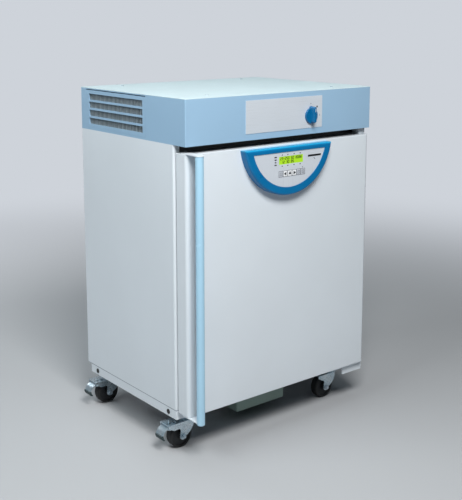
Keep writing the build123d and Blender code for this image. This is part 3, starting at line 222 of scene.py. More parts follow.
def remap(tree, value, from_low, from_high, to_low, to_high):
    """A Map Range node; each of its four limits is a number or a socket."""
    node = tree.nodes.new("ShaderNodeMapRange")
    tree.links.new(value, node.inputs["Value"])
    labels = ("From Min", "From Max", "To Min", "To Max")
    for label, limit in zip(labels, (from_low, from_high, to_low, to_high)):
        feed(tree, node.inputs[label], limit)
    return node.outputs["Result"]


def spread(tree, noise, low, high):
    """A noise, which mostly keeps between 0.3 and 0.7, spread between two limits."""
    return remap(tree, noise, 0.3, 0.7, low, high)


def swing(tree, noise, share):
    """A factor round 1 that follows a noise, up and down by a share of 1."""
    low = add_math(tree, "SUBTRACT", 1.0, share)
    high = add_math(tree, "ADD", 1.0, share)
    return spread(tree, noise, low, high)


def split_place(tree, place):
    """The X, Y and Z of a place, by name."""
    split = tree.nodes.new("ShaderNodeSeparateXYZ")
    tree.links.new(place, split.inputs[0])
    return split.outputs


def shade_by(tree, colour, value):
    """The colour made lighter or darker by a value round 1."""
    node = tree.nodes.new("ShaderNodeHueSaturation")
    tree.links.new(colour, node.inputs["Color"])
    tree.links.new(value, node.inputs["Value"])
    return node.outputs["Color"]


def blend_colours(tree, factor, first, second):
    """Two colours mixed by a mask; each is a fixed colour or a socket."""
    node = tree.nodes.new("ShaderNodeMix")
    node.data_type = "RGBA"
    tree.links.new(factor, node.inputs[0])
    low, high = [socket for socket in node.inputs if socket.type == "RGBA"]
    feed(tree, low, first)
    feed(tree, high, second)
    return next(socket for socket in node.outputs if socket.type == "RGBA")


def build_coat_group():
    """Powder coat: orange peel, faint clouds in the colour, and dust near the floor."""
    dust_top_z = 0.30
    group, given, place = new_group(
        "powder_coat",
        [("Colour", "Color"), ("Clouds", "Float"), ("Sheen Low", "Float"), ("Sheen High", "Float")],
    )
    peel = add_noise(group, place, 620.0, 1.0)
    clouds = add_noise(group, place, 3.2, 3.0)
    smears = add_noise(group, place, 14.0, 4.0)
    cloudy = shade_by(group, given["Colour"], swing(group, clouds, given["Clouds"]))
    low_down = remap(group, split_place(group, place)["Z"], 0.0, dust_top_z, 0.16, 0.0)
    dusty = add_math(group, "MULTIPLY", low_down, smears)
    colour = blend_colours(group, dusty, cloudy, srgb(168, 162, 152))
    rough = spread(group, smears, given["Sheen Low"], given["Sheen High"])
    return close_group(group, Colour=colour, Roughness=rough, Height=peel)


coat_group = build_coat_group()


def use_group(tree, group, **values):
    """A copy of a group in a material, with its own values; returns its outputs."""
    node = tree.nodes.new("ShaderNodeGroup")
    node.node_tree = group
    for label, value in values.items():
        node.inputs[label.replace("_", " ")].default_value = value
    return node.outputs


def add_relief(tree, shader, height, strength, distance):
    """A Bump node from a height to the shader's normal."""
    bump = tree.nodes.new("ShaderNodeBump")
    bump.inputs["Strength"].default_value = strength
    bump.inputs["Distance"].default_value = distance
    tree.links.new(height, bump.inputs["Height"])
    tree.links.new(bump.outputs["Normal"], shader.inputs["Normal"])


def finish_from(name, group, relief, depth, metal=0.0, **values):
    """A material whose colour, roughness and relief come from one group."""
    material, tree, shader = new_material(name)
    surface = use_group(tree, group, **values)
    shader.inputs["Metallic"].default_value = metal
    tree.links.new(surface["Colour"], shader.inputs["Base Color"])
    tree.links.new(surface["Roughness"], shader.inputs["Roughness"])
    add_relief(tree, shader, surface["Height"], relief, depth)
    return material


def coated(name, colour, clouds=0.02, sheen=(0.32, 0.42), relief=0.12):
    """Sheet steel under powder coat."""
    return finish_from(
        name, coat_group, relief, 0.0004,
        Colour=colour, Clouds=clouds, Sheen_Low=sheen[0], Sheen_High=sheen[1],
    )


def finish_nodes(material, *names):
    """Gives CAD nodes a material in all their slots."""
    for name in names:
        slots = nodes[name].data.materials
        if not slots:
            slots.append(material)
        for index in range(len(slots)):
            slots[index] = material


def draw_line(material, level_z, half, colour):
    """Colours a thin level band of a surface: used for painted shade at a seam and over the door,
    and a painted highlight on the bezel's top.
    """
    tree = material.node_tree
    base_colour = tree.nodes["Principled BSDF"].inputs["Base Color"]
    coat_colour = base_colour.links[0].from_socket
    height = split_place(tree, object_place(tree))["Z"]
    away = add_math(tree, "ABSOLUTE", add_math(tree, "SUBTRACT", height, level_z))
    inside = remap(tree, away, half * 0.8, half * 1.2, 1.0, 0.0)
    tree.links.new(blend_colours(tree, inside, coat_colour, colour), base_colour)


coat_white = srgb(223, 231, 238)
white_coat = coated("white_coat", coat_white)
# The side panels and plinth carry a thin painted shadow line where the panel's foot meets the
# plinth; the solids have no gap there.
painted_seam_shadow_coat = coated("painted_seam_shadow_coat", coat_white)
seam_z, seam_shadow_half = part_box("side_panel_left")[0].z, 0.0011
draw_line(painted_seam_shadow_coat, seam_z, seam_shadow_half, srgb(128, 140, 152))
# The collar's strip above the door is coloured near black as painted shade for the dark gap under
# the housing.
collar_painted_shade_coat = coated("collar_painted_shade_coat", coat_white)
collar_top_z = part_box("front_collar")[1].z
door_top_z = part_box("door_shell")[1].z
draw_line(collar_painted_shade_coat, collar_top_z, collar_top_z - door_top_z, srgb(12, 16, 18))
finish_nodes(white_coat, "door_shell", "hinge_lower", "handle_brackets")
finish_nodes(painted_seam_shadow_coat, "side_panel_left", "side_panel_right", "plinth_frame")
finish_nodes(collar_painted_shade_coat, "front_collar")


# The top housing: a folded ring in blue-grey coat, closed by a paler lid that
# four small screws hold down.
blue_coat = coated("blue_grey_coat", srgb(152, 186, 213), clouds=0.025)
lid_coat = coated("pale_lid_coat", srgb(202, 220, 225), clouds=0.015, sheen=(0.36, 0.46))
finish_nodes(blue_coat, "top_housing", "grille_left", "grille_right")
finish_nodes(lid_coat, "top_plate")


def pick_faces(piece, outward, corners=3):
    """In edit mode, selects the faces that look one way and have enough corners."""
    bpy.ops.object.mode_set(mode="EDIT")
    bpy.ops.mesh.select_mode(type="FACE")
    bpy.ops.mesh.select_all(action="DESELECT")
    bpy.ops.object.mode_set(mode="OBJECT")
    for face in piece.data.polygons:
        face.select = face.normal.dot(outward) > 0.98 and len(face.vertices) >= corners
    bpy.ops.object.mode_set(mode="EDIT")


def apply_place(piece):
    """Moves a piece's place, turn and size into its mesh."""
    deselect()
    piece.select_set(True)
    bpy.context.view_layer.objects.active = piece
    bpy.ops.object.transform_apply(location=True, rotation=True, scale=True)


def soften(piece, width, segments=2):
    """Rounds a piece's sharp edges."""
    bevel = piece.modifiers.new("edge", "BEVEL")
    bevel.width = width
    bevel.segments = segments
    bevel.limit_method = "ANGLE"
    bevel.angle_limit = math.radians(30.0)
    bpy.context.view_layer.objects.active = piece
    bpy.ops.object.modifier_apply(modifier=bevel.name)


def settle(piece, name, material, body):
    """Smooths and names a finished piece, and gives it its material and body."""
    apply_place(piece)
    bpy.ops.object.shade_smooth_by_angle(angle=math.radians(35.0))
    piece.name = name
    piece.data.name = name
    piece.data.materials.clear()
    piece.data.materials.append(material)
    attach(piece, body)
    return piece


def build_zinc_group():
    """Zinc plate: a faint spangle with patches of blue passivation."""
    group, given, place = new_group(
        "zinc_plate", [("Colour", "Color"), ("Tint", "Color"), ("Spangle", "Float")]
    )
    cells = group.nodes.new("ShaderNodeTexVoronoi")
    group.links.new(place, cells.inputs["Vector"])
    group.links.new(given["Spangle"], cells.inputs["Scale"])
    chance = group.nodes.new("ShaderNodeSeparateColor")
    group.links.new(cells.outputs["Color"], chance.inputs[0])
    patches = remap(group, add_noise(group, place, 38.0, 3.0), 0.35, 0.7, 0.0, 0.75)
    tinted = blend_colours(group, patches, given["Colour"], given["Tint"])
    shaded = shade_by(group, tinted, remap(group, chance.outputs[0], 0.0, 1.0, 0.93, 1.07))
    rough = remap(group, chance.outputs[1], 0.0, 1.0, 0.24, 0.42)
    grain = add_noise(group, place, 900.0)
    return close_group(group, Colour=shaded, Roughness=rough, Height=grain)


zinc_group = build_zinc_group()


def zinc_plated(name, colour, tint, spangle):
    return finish_from(
        name, zinc_group, 0.08, 0.0003, metal=0.92, Colour=colour, Tint=tint, Spangle=spangle
    )


bright_zinc = zinc_plated("bright_zinc", srgb(200, 208, 214), srgb(150, 178, 196), 260.0)
facing = {
    "up": (0.0, 0.0, 0.0),
    "down": (math.pi, 0.0, 0.0),
    "front": (math.pi / 2, 0.0, 0.0),
    "back": (-math.pi / 2, 0.0, 0.0),
    "left": (0.0, -math.pi / 2, 0.0),
    "right": (0.0, math.pi / 2, 0.0),
}


def stand_disc(place, way, radius, height, sides):
    """A disc or prism standing on a surface; returns it and its outward direction."""
    outward = Vector((0.0, 0.0, 1.0))
    outward.rotate(Euler(facing[way]))
    deselect()
    bpy.ops.mesh.primitive_cylinder_add(
        vertices=sides, radius=radius, depth=height, rotation=facing[way],
        location=Vector(place) + outward * height / 2,
    )
    disc = bpy.context.object
    apply_place(disc)
    return disc, outward


def set_out(model, places, slot, *details):
    """Models a piece at the first of its named places, and copies it to the rest."""
    (first_name, (first_place, first_body)), *others = places.items()
    first = model(first_name, first_place, first_body, *details)
    for name, (place, body) in others:
        twin = first.copy()
        twin.data = first.data.copy()
        twin.data.transform(Matrix.Translation(Vector(place) - Vector(first_place)))
        twin.name = name
        twin.data.name = name
        bpy.context.scene.collection.objects.link(twin)
        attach(twin, body)


def socket_screw(name, place, body, way, radius, height, sides=32):
    """A screw head standing on a surface: a rounded disc with a socket sunk in its top."""
    edge, crown, socket_depth = height * 0.4, height * 0.1, height * 0.6
    rim, lip = radius * 0.28, radius * 0.02
    screw, outward = stand_disc(place, way, radius, height, sides)
    soften(screw, edge)
    pick_faces(screw, outward, corners=9)
    bpy.ops.mesh.inset(thickness=rim)
    bpy.ops.transform.translate(value=tuple(outward * crown))
    bpy.ops.mesh.inset(thickness=lip)
    bpy.ops.transform.translate(value=tuple(-outward * socket_depth))
    bpy.ops.object.mode_set(mode="OBJECT")
    return settle(screw, name, bright_zinc, body)


lid_top_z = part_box("top_plate")[1].z
lid_screw_x, lid_screw_y = 0.257, 0.234
lid_screw_radius, lid_screw_height = 0.0048, 0.0016
four_ways = ((-1, -1), (1, -1), (-1, 1), (1, 1))
lid_screw_places = {
    f"lid_screw_{number}": ((side * lid_screw_x, end * lid_screw_y, lid_top_z), "cabinet")
    for number, (side, end) in enumerate(four_ways)
}
set_out(
    socket_screw, lid_screw_places, "zinc_plated", "up", lid_screw_radius, lid_screw_height
)


# The air grilles' screens: woven grey mesh, clamped behind the four long windows
# of each grille, where it is seen as fine upright lines.
def wave(tree, value, pitch):
    """A sine along one coordinate, with a crest at every pitch."""
    return add_math(tree, "SINE", add_math(tree, "MULTIPLY", value, 2 * math.pi / pitch))


def build_mesh_material():
    wire_pitch = 0.0022
    material, tree, shader = new_material("grey_mesh")
    place = object_place(tree)
    along = split_place(tree, place)
    upright = wave(tree, along["Y"], wire_pitch)
    level = wave(tree, along["Z"], wire_pitch)
    weave = add_math(tree, "MAXIMUM", upright, add_math(tree, "MULTIPLY", level, 0.5))
    wires = remap(tree, weave, -0.4, 0.6, 0.3, 1.0)
    patches = spread(tree, add_noise(tree, place, 24.0, 3.0), 0.8, 1.15)
    worn = add_math(tree, "MULTIPLY", wires, patches)
    colour = blend_colours(tree, worn, srgb(88, 101, 108), srgb(170, 184, 192))
    tree.links.new(colour, shader.inputs["Base Color"])
    shader.inputs["Roughness"].default_value = 0.6
    shader.inputs["Metallic"].default_value = 0.3
    add_relief(tree, shader, weave, 0.3, 0.0005)
    return material


finish_nodes(build_mesh_material(), "grille_screens")


# The fascia: a thin brushed plate on the housing's front, printed with three
# dial marks round the selector.
def build_brushed_group():
    """Brushed metal: fine lines along one direction, set by unequal scales."""
    group, given, place = new_group(
        "brushed_metal", [("Colour", "Color"), ("Grain", "Vector"), ("Contrast", "Float")]
    )
    stretch = group.nodes.new("ShaderNodeVectorMath")
    stretch.operation = "MULTIPLY"
    group.links.new(place, stretch.inputs[0])
    group.links.new(given["Grain"], stretch.inputs[1])
    lines = add_noise(group, stretch.outputs["Vector"], 1.0, 3.0)
    clouds = add_noise(group, place, 5.0)
    lined = shade_by(group, given["Colour"], swing(group, lines, given["Contrast"]))
    clouded = shade_by(group, lined, spread(group, clouds, 0.97, 1.03))
    rough = spread(group, lines, 0.26, 0.4)
    return close_group(group, Colour=clouded, Roughness=rough, Height=lines)


brushed_group = build_brushed_group()


def brushed(name, colour, grain, contrast, metal=0.9, relief=0.06):
    """Metal brushed along the axis on which its grain is smallest."""
    return finish_from(
        name, brushed_group, relief, 0.0002, metal=metal,
        Colour=colour, Grain=grain, Contrast=contrast,
    )


fascia_metal = brushed("fascia_metal", srgb(210, 217, 225), (9.0, 2600.0, 2600.0), 0.008, 0.12)
finish_nodes(fascia_metal, "fascia_panel")


def build_print():
    """Dark screen print: flat ink with a slightly uneven tone."""
    material, tree, shader = new_material("dark_print")
    tone = add_noise(tree, object_place(tree), 300.0)
    ink = blend_colours(tree, tone, srgb(24, 27, 33), srgb(44, 48, 55))
    tree.links.new(ink, shader.inputs["Base Color"])
    shader.inputs["Roughness"].default_value = 0.55
    return material


dark_print = build_print()
print_thickness = 0.0003


def printed_dot(place, radius):
    """A printed dot on a plate that faces the front: a disc with a softened rim."""
    dot = stand_disc(place, "front", radius, print_thickness, 24)[0]
    soften(dot, print_thickness * 0.4, 1)
    return dot


def printed_bar(place, width, height, thickness=print_thickness, turn=0.0):
    """A printed bar on a plate that faces the front, with its rim softened."""
    deselect()
    bpy.ops.mesh.primitive_cube_add(
        size=1.0, scale=(width, thickness, height), rotation=(0.0, turn, 0.0),
        location=(place[0], place[1] - thickness / 2, place[2]),
    )
    bar = bpy.context.object
    apply_place(bar)
    soften(bar, thickness * 0.4, 1)
    return bar


def join_pieces(pieces):
    """Joins small pieces of one kind into one mesh."""
    deselect()
    for piece in pieces:
        piece.select_set(True)
    bpy.context.view_layer.objects.active = pieces[0]
    bpy.ops.object.join()
    return bpy.context.object


knob_x, knob_z = 0.108, 1.014
fascia_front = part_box("fascia_panel")[0].y
mark_radius = 0.0385
dot_radii_by_angle = {90.0: 0.0014, 45.0: 0.0030}
dial_bar_width, dial_bar_height = 0.0010, 0.0055
dial_marks = []
for degrees, dot_radius in dot_radii_by_angle.items():
    across = mark_radius * math.cos(math.radians(degrees))
    up = mark_radius * math.sin(math.radians(degrees))
    dial_marks.append(printed_dot((knob_x + across, fascia_front, knob_z + up), dot_radius))
dial_bar_place = (knob_x + mark_radius, fascia_front, knob_z)
dial_marks.append(printed_bar(dial_bar_place, dial_bar_width, dial_bar_height))
settle(join_pieces(dial_marks), "dial_marks", dark_print, "cabinet")


# The selector knob: moulded in glossy blue plastic, with a thin white line stuck
# on the pointer end of its grip.
def build_plastic_group():
    """Moulded plastic: a fine spark-eroded grain and a few rubbed patches."""
    group, given, place = new_group(
        "moulded_plastic",
        [("Colour", "Color"), ("Grain", "Float"), ("Sheen Low", "Float"), ("Sheen High", "Float")],
    )
    grain = add_noise(group, place, given["Grain"])
    rubbed = add_noise(group, place, 22.0, 3.0)
    shaded = shade_by(group, given["Colour"], spread(group, rubbed, 0.95, 1.05))
    rough = spread(group, rubbed, given["Sheen Low"], given["Sheen High"])
    return close_group(group, Colour=shaded, Roughness=rough, Height=grain)


plastic_group = build_plastic_group()


def moulded(name, colour, grain=900.0, sheen=(0.22, 0.34), relief=0.08):
    return finish_from(
        name, plastic_group, relief, 0.0003,
        Colour=colour, Grain=grain, Sheen_Low=sheen[0], Sheen_High=sheen[1],
    )


finish_nodes(moulded("knob_blue", srgb(4, 98, 148)), "selector_knob")
pointer_white = moulded("pointer_white", srgb(226, 234, 240))
pointer_rise, pointer_width, pointer_length, pointer_height = 0.018, 0.0016, 0.011, 0.0005
pointer_place = (knob_x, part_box("selector_knob")[0].y, knob_z + pointer_rise)
pointer = printed_bar(pointer_place, pointer_width, pointer_length, pointer_height)
settle(pointer, "knob_pointer_line", pointer_white, "selector")


# The handle: a drawn tube in glossy pale blue on two white plates, closed at
# its foot by a small screw.
def box_middle(name):
    low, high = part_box(name)
    return (low + high) / 2


handle_coat = coated(
    "handle_coat", srgb(172, 214, 238), clouds=0.015, sheen=(0.2, 0.28), relief=0.05
)
finish_nodes(handle_coat, "handle_bar")
handle_middle = box_middle("handle_bar")
handle_foot = (handle_middle.x, handle_middle.y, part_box("handle_bar")[0].z)
foot_screw_radius, foot_screw_height = 0.0042, 0.0022
socket_screw(
    "handle_foot_screw", handle_foot, "door", "down", foot_screw_radius, foot_screw_height
)


# The control panel: a glossy blue moulding round a silver plate that carries
# the display, a card slot, printed marks and six keys, each framed by painted shade.
bezel_plastic = moulded("bezel_blue", srgb(2, 110, 166), sheen=(0.26, 0.36))
face_metal = brushed("face_silver", srgb(214, 221, 230), (500.0, 500.0, 8.0), 0.015, 0.1, 0.03)
bezel_shader = bezel_plastic.node_tree.nodes["Principled BSDF"]
bezel_shader.inputs["Specular IOR Level"].default_value = 0.35
# A band along the bezel's top is coloured a lighter cyan: a painted highlight where the top face
# catches the light.
bezel_top_z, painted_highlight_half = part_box("panel_bezel")[1].z, 0.0025
draw_line(bezel_plastic, bezel_top_z, painted_highlight_half, srgb(20, 158, 206))
finish_nodes(bezel_plastic, "panel_bezel")
finish_nodes(face_metal, "panel_face")


def build_display_material():
    """A reflective display: yellow-green with a fine dot grid under a clear cover, and a faint
    painted glow.
    """
    dot_pitch = 0.0012
    material, tree, shader = new_material("display_green")
    along = split_place(tree, object_place(tree))
    across = wave(tree, along["X"], dot_pitch)
    upward = wave(tree, along["Z"], dot_pitch)
    dots = remap(tree, add_math(tree, "MULTIPLY", across, upward), -1.0, 1.0, 0.0, 1.0)
    colour_and_painted_glow = blend_colours(tree, dots, srgb(156, 206, 34), srgb(168, 214, 52))
    tree.links.new(colour_and_painted_glow, shader.inputs["Base Color"])
    # The emission is painted light: the display has no lamp, and the glow only brightens its
    # colour.
    tree.links.new(colour_and_painted_glow, shader.inputs["Emission Color"])
    shader.inputs["Emission Strength"].default_value = 0.28
    shader.inputs["Roughness"].default_value = 0.18
    shader.inputs["Coat Weight"].default_value = 0.2
    shader.inputs["Coat Roughness"].default_value = 0.05
    return material


finish_nodes(build_display_material(), "display_window")
display_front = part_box("display_window")[0].y
display_middle = box_middle("display_window")
segment_places = {
    "a": (0.0, 1.0, True), "b": (0.5, 0.5, False), "c": (0.5, -0.5, False), "d": (0.0, -1.0, True),
    "e": (-0.5, -0.5, False), "f": (-0.5, 0.5, False), "g": (0.0, 0.0, True),
}
digit_segments = {
    "0": "abcdef", "1": "bc", "2": "abged", "3": "abgcd", "4": "fgbc", "5": "afgcd",
    "6": "afgedc", "7": "abc", "8": "abcdefg", "9": "abcdfg", "-": "g", " ": "",
}


def lit_digits(text, left, rise):
    """A row of seven-bar digits as thin dark bars on the display's front."""
    height, thickness = 0.0078, 0.0002
    width = height * 0.52
    pitch = height * 0.82
    stroke = height * 0.21
    level_bar = (width * 0.8, stroke, thickness)
    upright_bar = (stroke, height * 0.4, thickness)
    bars = []
    for position, sign in enumerate(text):
        centre_x = display_middle.x + left + position * pitch + width / 2
        for name in digit_segments[sign]:
            across, up, level = segment_places[name]
            place = (
                centre_x + across * width, display_front, display_middle.z + rise + up * height / 2
            )
            bars.append(printed_bar(place, *(level_bar if level else upright_bar)))
    return bars


row_rise = 0.0056
digits = lit_digits("23-250 60 8088", -0.044, row_rise) + lit_digits("12 30 85", -0.038, -row_rise)
lcd_ink = moulded("display_ink", srgb(16, 30, 6), sheen=(0.3, 0.4))
settle(join_pieces(digits), "display_digits", lcd_ink, "door")

face_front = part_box("panel_face")[0].y
panel_keys = ("key_menu", "key_left", "key_up", "key_right", "key_enter", "key_start")
panel_marks = []


def mark_face(x, z, width, height, turn=0.0):
    """Adds a dark bar on the face plate to the panel's marks: print, or painted shade round a key.
    """
    panel_marks.append(printed_bar((x, face_front, z), width, height, turn=turn))


caption_rise, caption_width, caption_height = 0.0172, 0.0042, 0.0030
for caption_x in (-0.037, -0.014, 0.012, 0.038):
    for rise in (caption_rise, -caption_rise):
        caption_z = display_middle.z + rise
        mark_face(display_middle.x + caption_x, caption_z, caption_width, caption_height)
legend_x, legend_top_z, legend_pitch, legend_height = -0.0600, 0.8990, 0.0080, 0.0036
for row, legend_width in enumerate((0.0095, 0.0085, 0.0065, 0.0090)):
    mark_face(legend_x, legend_top_z - row * legend_pitch, legend_width, legend_height)
slot_x, slot_z = 0.103, 0.892
slanted_drop, slanted_width, slanted_height = 0.010, 0.0070, 0.0020
mark_face(slot_x, slot_z - slanted_drop, slanted_width, slanted_height, turn=math.radians(35))
key_dot_x, key_dot_z, key_dot_radius = 0.0522, 0.8590, 0.0016
panel_marks.append(printed_dot((key_dot_x, face_front, key_dot_z), key_dot_radius))
# Each key gets a thin dark frame on the face plate: painted shade standing in for the gap round the
# key.
key_shade_margin, key_shade_stroke = 0.0008, 0.0009
for key in panel_keys:
    low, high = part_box(key)
    middle = box_middle(key)
    half_x = (high.x - low.x) / 2 + key_shade_margin
    half_z = (high.z - low.z) / 2 + key_shade_margin
    for side in (-1, 1):
        mark_face(middle.x + side * half_x, middle.z, key_shade_stroke, 2 * half_z)
        mark_face(middle.x, middle.z + side * half_z, 2 * half_x, key_shade_stroke)
settle(join_pieces(panel_marks), "panel_marks", dark_print, "door")


def card_slot_throat():
    """The card slot's dark throat, open at the front, and the thin lip round its mouth."""
    width, height, depth, wall = 0.0536, 0.0026, 0.0060, 0.0005
    seat_gap = 0.0001
    lip_x, lip_z, lip_thickness = 0.0273, 0.0022, 0.0006
    level_lip = (0.0560, 0.0016, lip_thickness)
    upright_lip = (0.0014, 0.0056, lip_thickness)
    deselect()
    bpy.ops.mesh.primitive_cube_add(
        size=1.0, scale=(width, depth, height),
        location=(slot_x, face_front + depth / 2 + seat_gap, slot_z),
    )
    throat = bpy.context.object
    apply_place(throat)
    pick_faces(throat, Vector((0.0, -1.0, 0.0)))
    bpy.ops.mesh.inset(thickness=wall)
    bpy.ops.transform.translate(value=(0.0, depth * 0.7, 0.0))
    bpy.ops.object.mode_set(mode="OBJECT")
    parts = [throat]
    for side in (-1, 1):
        parts.append(printed_bar((slot_x, face_front, slot_z + side * lip_z), *level_lip))
        parts.append(printed_bar((slot_x + side * lip_x, face_front, slot_z), *upright_lip))
    black_lining = moulded("slot_black", srgb(18, 19, 21), sheen=(0.5, 0.6))
    settle(join_pieces(parts), "card_slot_throat", black_lining, "door")


card_slot_throat()


def arrow_sign(name, place, body, turn):
    """A printed triangle that points up, or sideways by its turn."""
    arrow_radius, rim = 0.0066, 0.0001
    deselect()
    bpy.ops.mesh.primitive_cylinder_add(
        vertices=3, radius=arrow_radius, depth=print_thickness, location=place,
        rotation=(math.pi / 2, turn, 0.0),
    )
    arrow = bpy.context.object
    apply_place(arrow)
    soften(arrow, rim, 1)
    return settle(arrow, name, dark_print, body)


def framed_sign(name, place, body):
    """A printed square with a short bar in its middle."""
    side, stroke = 0.0085, 0.0008
    strokes = []
    for offset in (-side / 2, side / 2):
        strokes.append(printed_bar((place.x + offset, place.y, place.z), stroke, side))
        strokes.append(printed_bar((place.x, place.y, place.z + offset), side, stroke))
    strokes.append(printed_bar(place, side * 0.5, stroke))
    return settle(join_pieces(strokes), name, dark_print, body)


key_plastic = moulded("key_grey", srgb(196, 202, 212), sheen=(0.4, 0.5))
key_white = moulded("key_white", srgb(238, 241, 244), sheen=(0.4, 0.5))
arrow_turns = {"key_left": -math.pi / 2, "key_up": 0.0, "key_right": math.pi / 2}
framed_places = {}
for key in panel_keys:
    key_front = box_middle(key)
    key_front.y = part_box(key)[0].y
    if key in arrow_turns:
        finish_nodes(key_white, key)
        arrow_sign(key + "_symbol", key_front, key + "_cap", arrow_turns[key])
    else:
        finish_nodes(key_plastic, key)
        framed_places[key + "_symbol"] = (key_front, key + "_cap")
set_out(framed_sign, framed_places, "black_plastic")


# The chamber: stainless sheet inside, with racks, wire shelves, a baffle and
# the parts of the air system behind it.
stainless = brushed("stainless_sheet", srgb(196, 197, 194), (8.0, 8.0, 420.0), 0.05)
stainless_wire = brushed("stainless_wire", srgb(204, 205, 203), (60.0, 12.0, 60.0), 0.04)
finish_nodes(
    stainless, "chamber_liner", "fan_baffle", "shelf_racks", "door_liner", "heater_ring",
    "steam_generator",
)
finish_nodes(stainless_wire, "shelf_lower", "shelf_upper")
fin_metal = brushed("fin_aluminium", srgb(206, 209, 212), (400.0, 10.0, 10.0), 0.08)
finish_nodes(fin_metal, "evaporator_coil", "condenser", "fan_wheel")


# Seals and bushes: a soft black gasket round the door's liner, and hard black
# bushes in the door that turn on the hinge pins.
def build_rubber_group():
    """Rubber: matte black with a dusty bloom and a fine moulded grain."""
    group, given, place = new_group(
        "rubber", [("Colour", "Color"), ("Bloom", "Color"), ("Dust", "Float")]
    )
    patches = add_noise(group, place, 45.0, 4.0)
    dusty = remap(group, patches, 0.4, 0.75, 0.0, 1.0)
    mask = add_math(group, "MULTIPLY", dusty, given["Dust"])
    colour = blend_colours(group, mask, given["Colour"], given["Bloom"])
    rough = spread(group, patches, 0.5, 0.72)
    grain = add_noise(group, place, 1100.0)
    return close_group(group, Colour=colour, Roughness=rough, Height=grain)


rubber_group = build_rubber_group()
seal_rubber = finish_from(
    "seal_rubber", rubber_group, 0.15, 0.0003,
    Colour=srgb(34, 35, 37), Bloom=srgb(70, 72, 74), Dust=0.3,
)
bush_plastic = moulded("bush_black", srgb(30, 31, 33), sheen=(0.4, 0.5))
finish_nodes(seal_rubber, "door_gasket")
finish_nodes(bush_plastic, "door_bushes")


# Plain inner parts: mineral wool round the chamber and in the door, galvanised
# pans, and the machinery and boards on their deck, whose near-black coat is painted shade.
def build_wool():
    material, tree, shader = new_material("mineral_wool")
    fibres = add_noise(tree, object_place(tree), 160.0, 6.0)
    colour = blend_colours(tree, fibres, srgb(176, 160, 104), srgb(222, 208, 150))
    tree.links.new(colour, shader.inputs["Base Color"])
    shader.inputs["Roughness"].default_value = 0.95
    add_relief(tree, shader, fibres, 0.6, 0.002)
    return material


finish_nodes(build_wool(), "insulation_jacket", "door_insulation")
galvanised = zinc_plated("galvanised_sheet", srgb(204, 209, 213), srgb(190, 198, 204), 150.0)
finish_nodes(galvanised, "back_panel", "floor_pan")
# The deck's near-black coat is painted shade: it darkens the gap between the housing and the door.
deck_painted_shade_coat = coated("deck_shade_black_coat", srgb(20, 24, 27), sheen=(0.5, 0.6))
finish_nodes(deck_painted_shade_coat, "equipment_deck")
black_enamel = coated("black_enamel", srgb(24, 25, 27), sheen=(0.2, 0.3))
finish_nodes(black_enamel, "compressor")
motor_metal = zinc_plated("motor_casting", srgb(126, 128, 130), srgb(110, 112, 116), 300.0)
finish_nodes(motor_metal, "fan_motor")
board_green = moulded("board_green", srgb(30, 92, 52), grain=400.0, sheen=(0.35, 0.5), relief=0.2)
finish_nodes(board_green, "control_boards")


# The back: a galvanised panel held by screws along its edges, two brass nozzles
# and the mains inlet with its three pins.
brass = brushed("brass_fitting", srgb(196, 164, 96), (60.0, 8.0, 60.0), 0.06)
finish_nodes(brass, "hose_nozzles")
inlet_plastic = moulded("inlet_black", srgb(26, 27, 29), sheen=(0.35, 0.45))
finish_nodes(inlet_plastic, "mains_inlet")
back_low, back_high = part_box("back_panel")
screw_inset, screw_low_z, screw_high_z = 0.014, 0.42, 0.69
back_screw_radius, back_screw_height, back_screw_sides = 0.0045, 0.0018, 20
screw_columns = (back_low.x + screw_inset, 0.0, back_high.x - screw_inset)
screw_rows = (back_low.z + screw_inset, screw_low_z, screw_high_z, back_high.z - screw_inset)
back_screw_places = {}
for column, x in enumerate(screw_columns):
    for row, z in enumerate(screw_rows):
        if x != 0.0 or z not in (screw_low_z, screw_high_z):
            back_screw_places[f"back_screw_{column}_{row}"] = ((x, back_high.y, z), "cabinet")
set_out(
    socket_screw, back_screw_places, "zinc_plated", "back",
    back_screw_radius, back_screw_height, back_screw_sides,
)


# Door hinges: a pale coated steel block over the door, and a folded bracket under
# it in the door's white, each with a pin that the door's bushes turn on.
hinge_coat = coated("hinge_pale_coat", srgb(206, 214, 222), sheen=(0.3, 0.4))
finish_nodes(hinge_coat, "hinge_upper")


# The plinth's jacking holes: a black moulded plug is pressed into each from
# outside, with a soft rim and a shallow dish in its face.
plug_black = moulded("plug_black", srgb(14, 16, 17), sheen=(0.45, 0.55))
plug_radius, plug_height, plug_rim, plug_dish = 0.0078, 0.0016, 0.0018, 0.0007
plinth_low, plinth_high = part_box("plinth_frame")
jack_hole_z = 0.124
jack_hole_ys = {"front": -0.194, "back": 0.228}


def hole_plug(name, place, body, way):
    """A shallow plug with a rounded rim, its face sunk a little inside the rim."""
    plug, outward = stand_disc(place, way, plug_radius, plug_height, 40)
    soften(plug, plug_height * 0.4, 3)
    pick_faces(plug, outward, corners=9)
    bpy.ops.mesh.inset(thickness=plug_rim)
    bpy.ops.transform.translate(value=tuple(-outward * plug_dish))
    bpy.ops.object.mode_set(mode="OBJECT")
    return settle(plug, name, plug_black, body)


for side, face_x in (("left", plinth_low.x), ("right", plinth_high.x)):
    plug_places = {
        f"plinth_plug_{end}_{side}": ((face_x, y, jack_hole_z), "cabinet")
        for end, y in jack_hole_ys.items()
    }
    set_out(hole_plug, plug_places, "black_plastic", side)


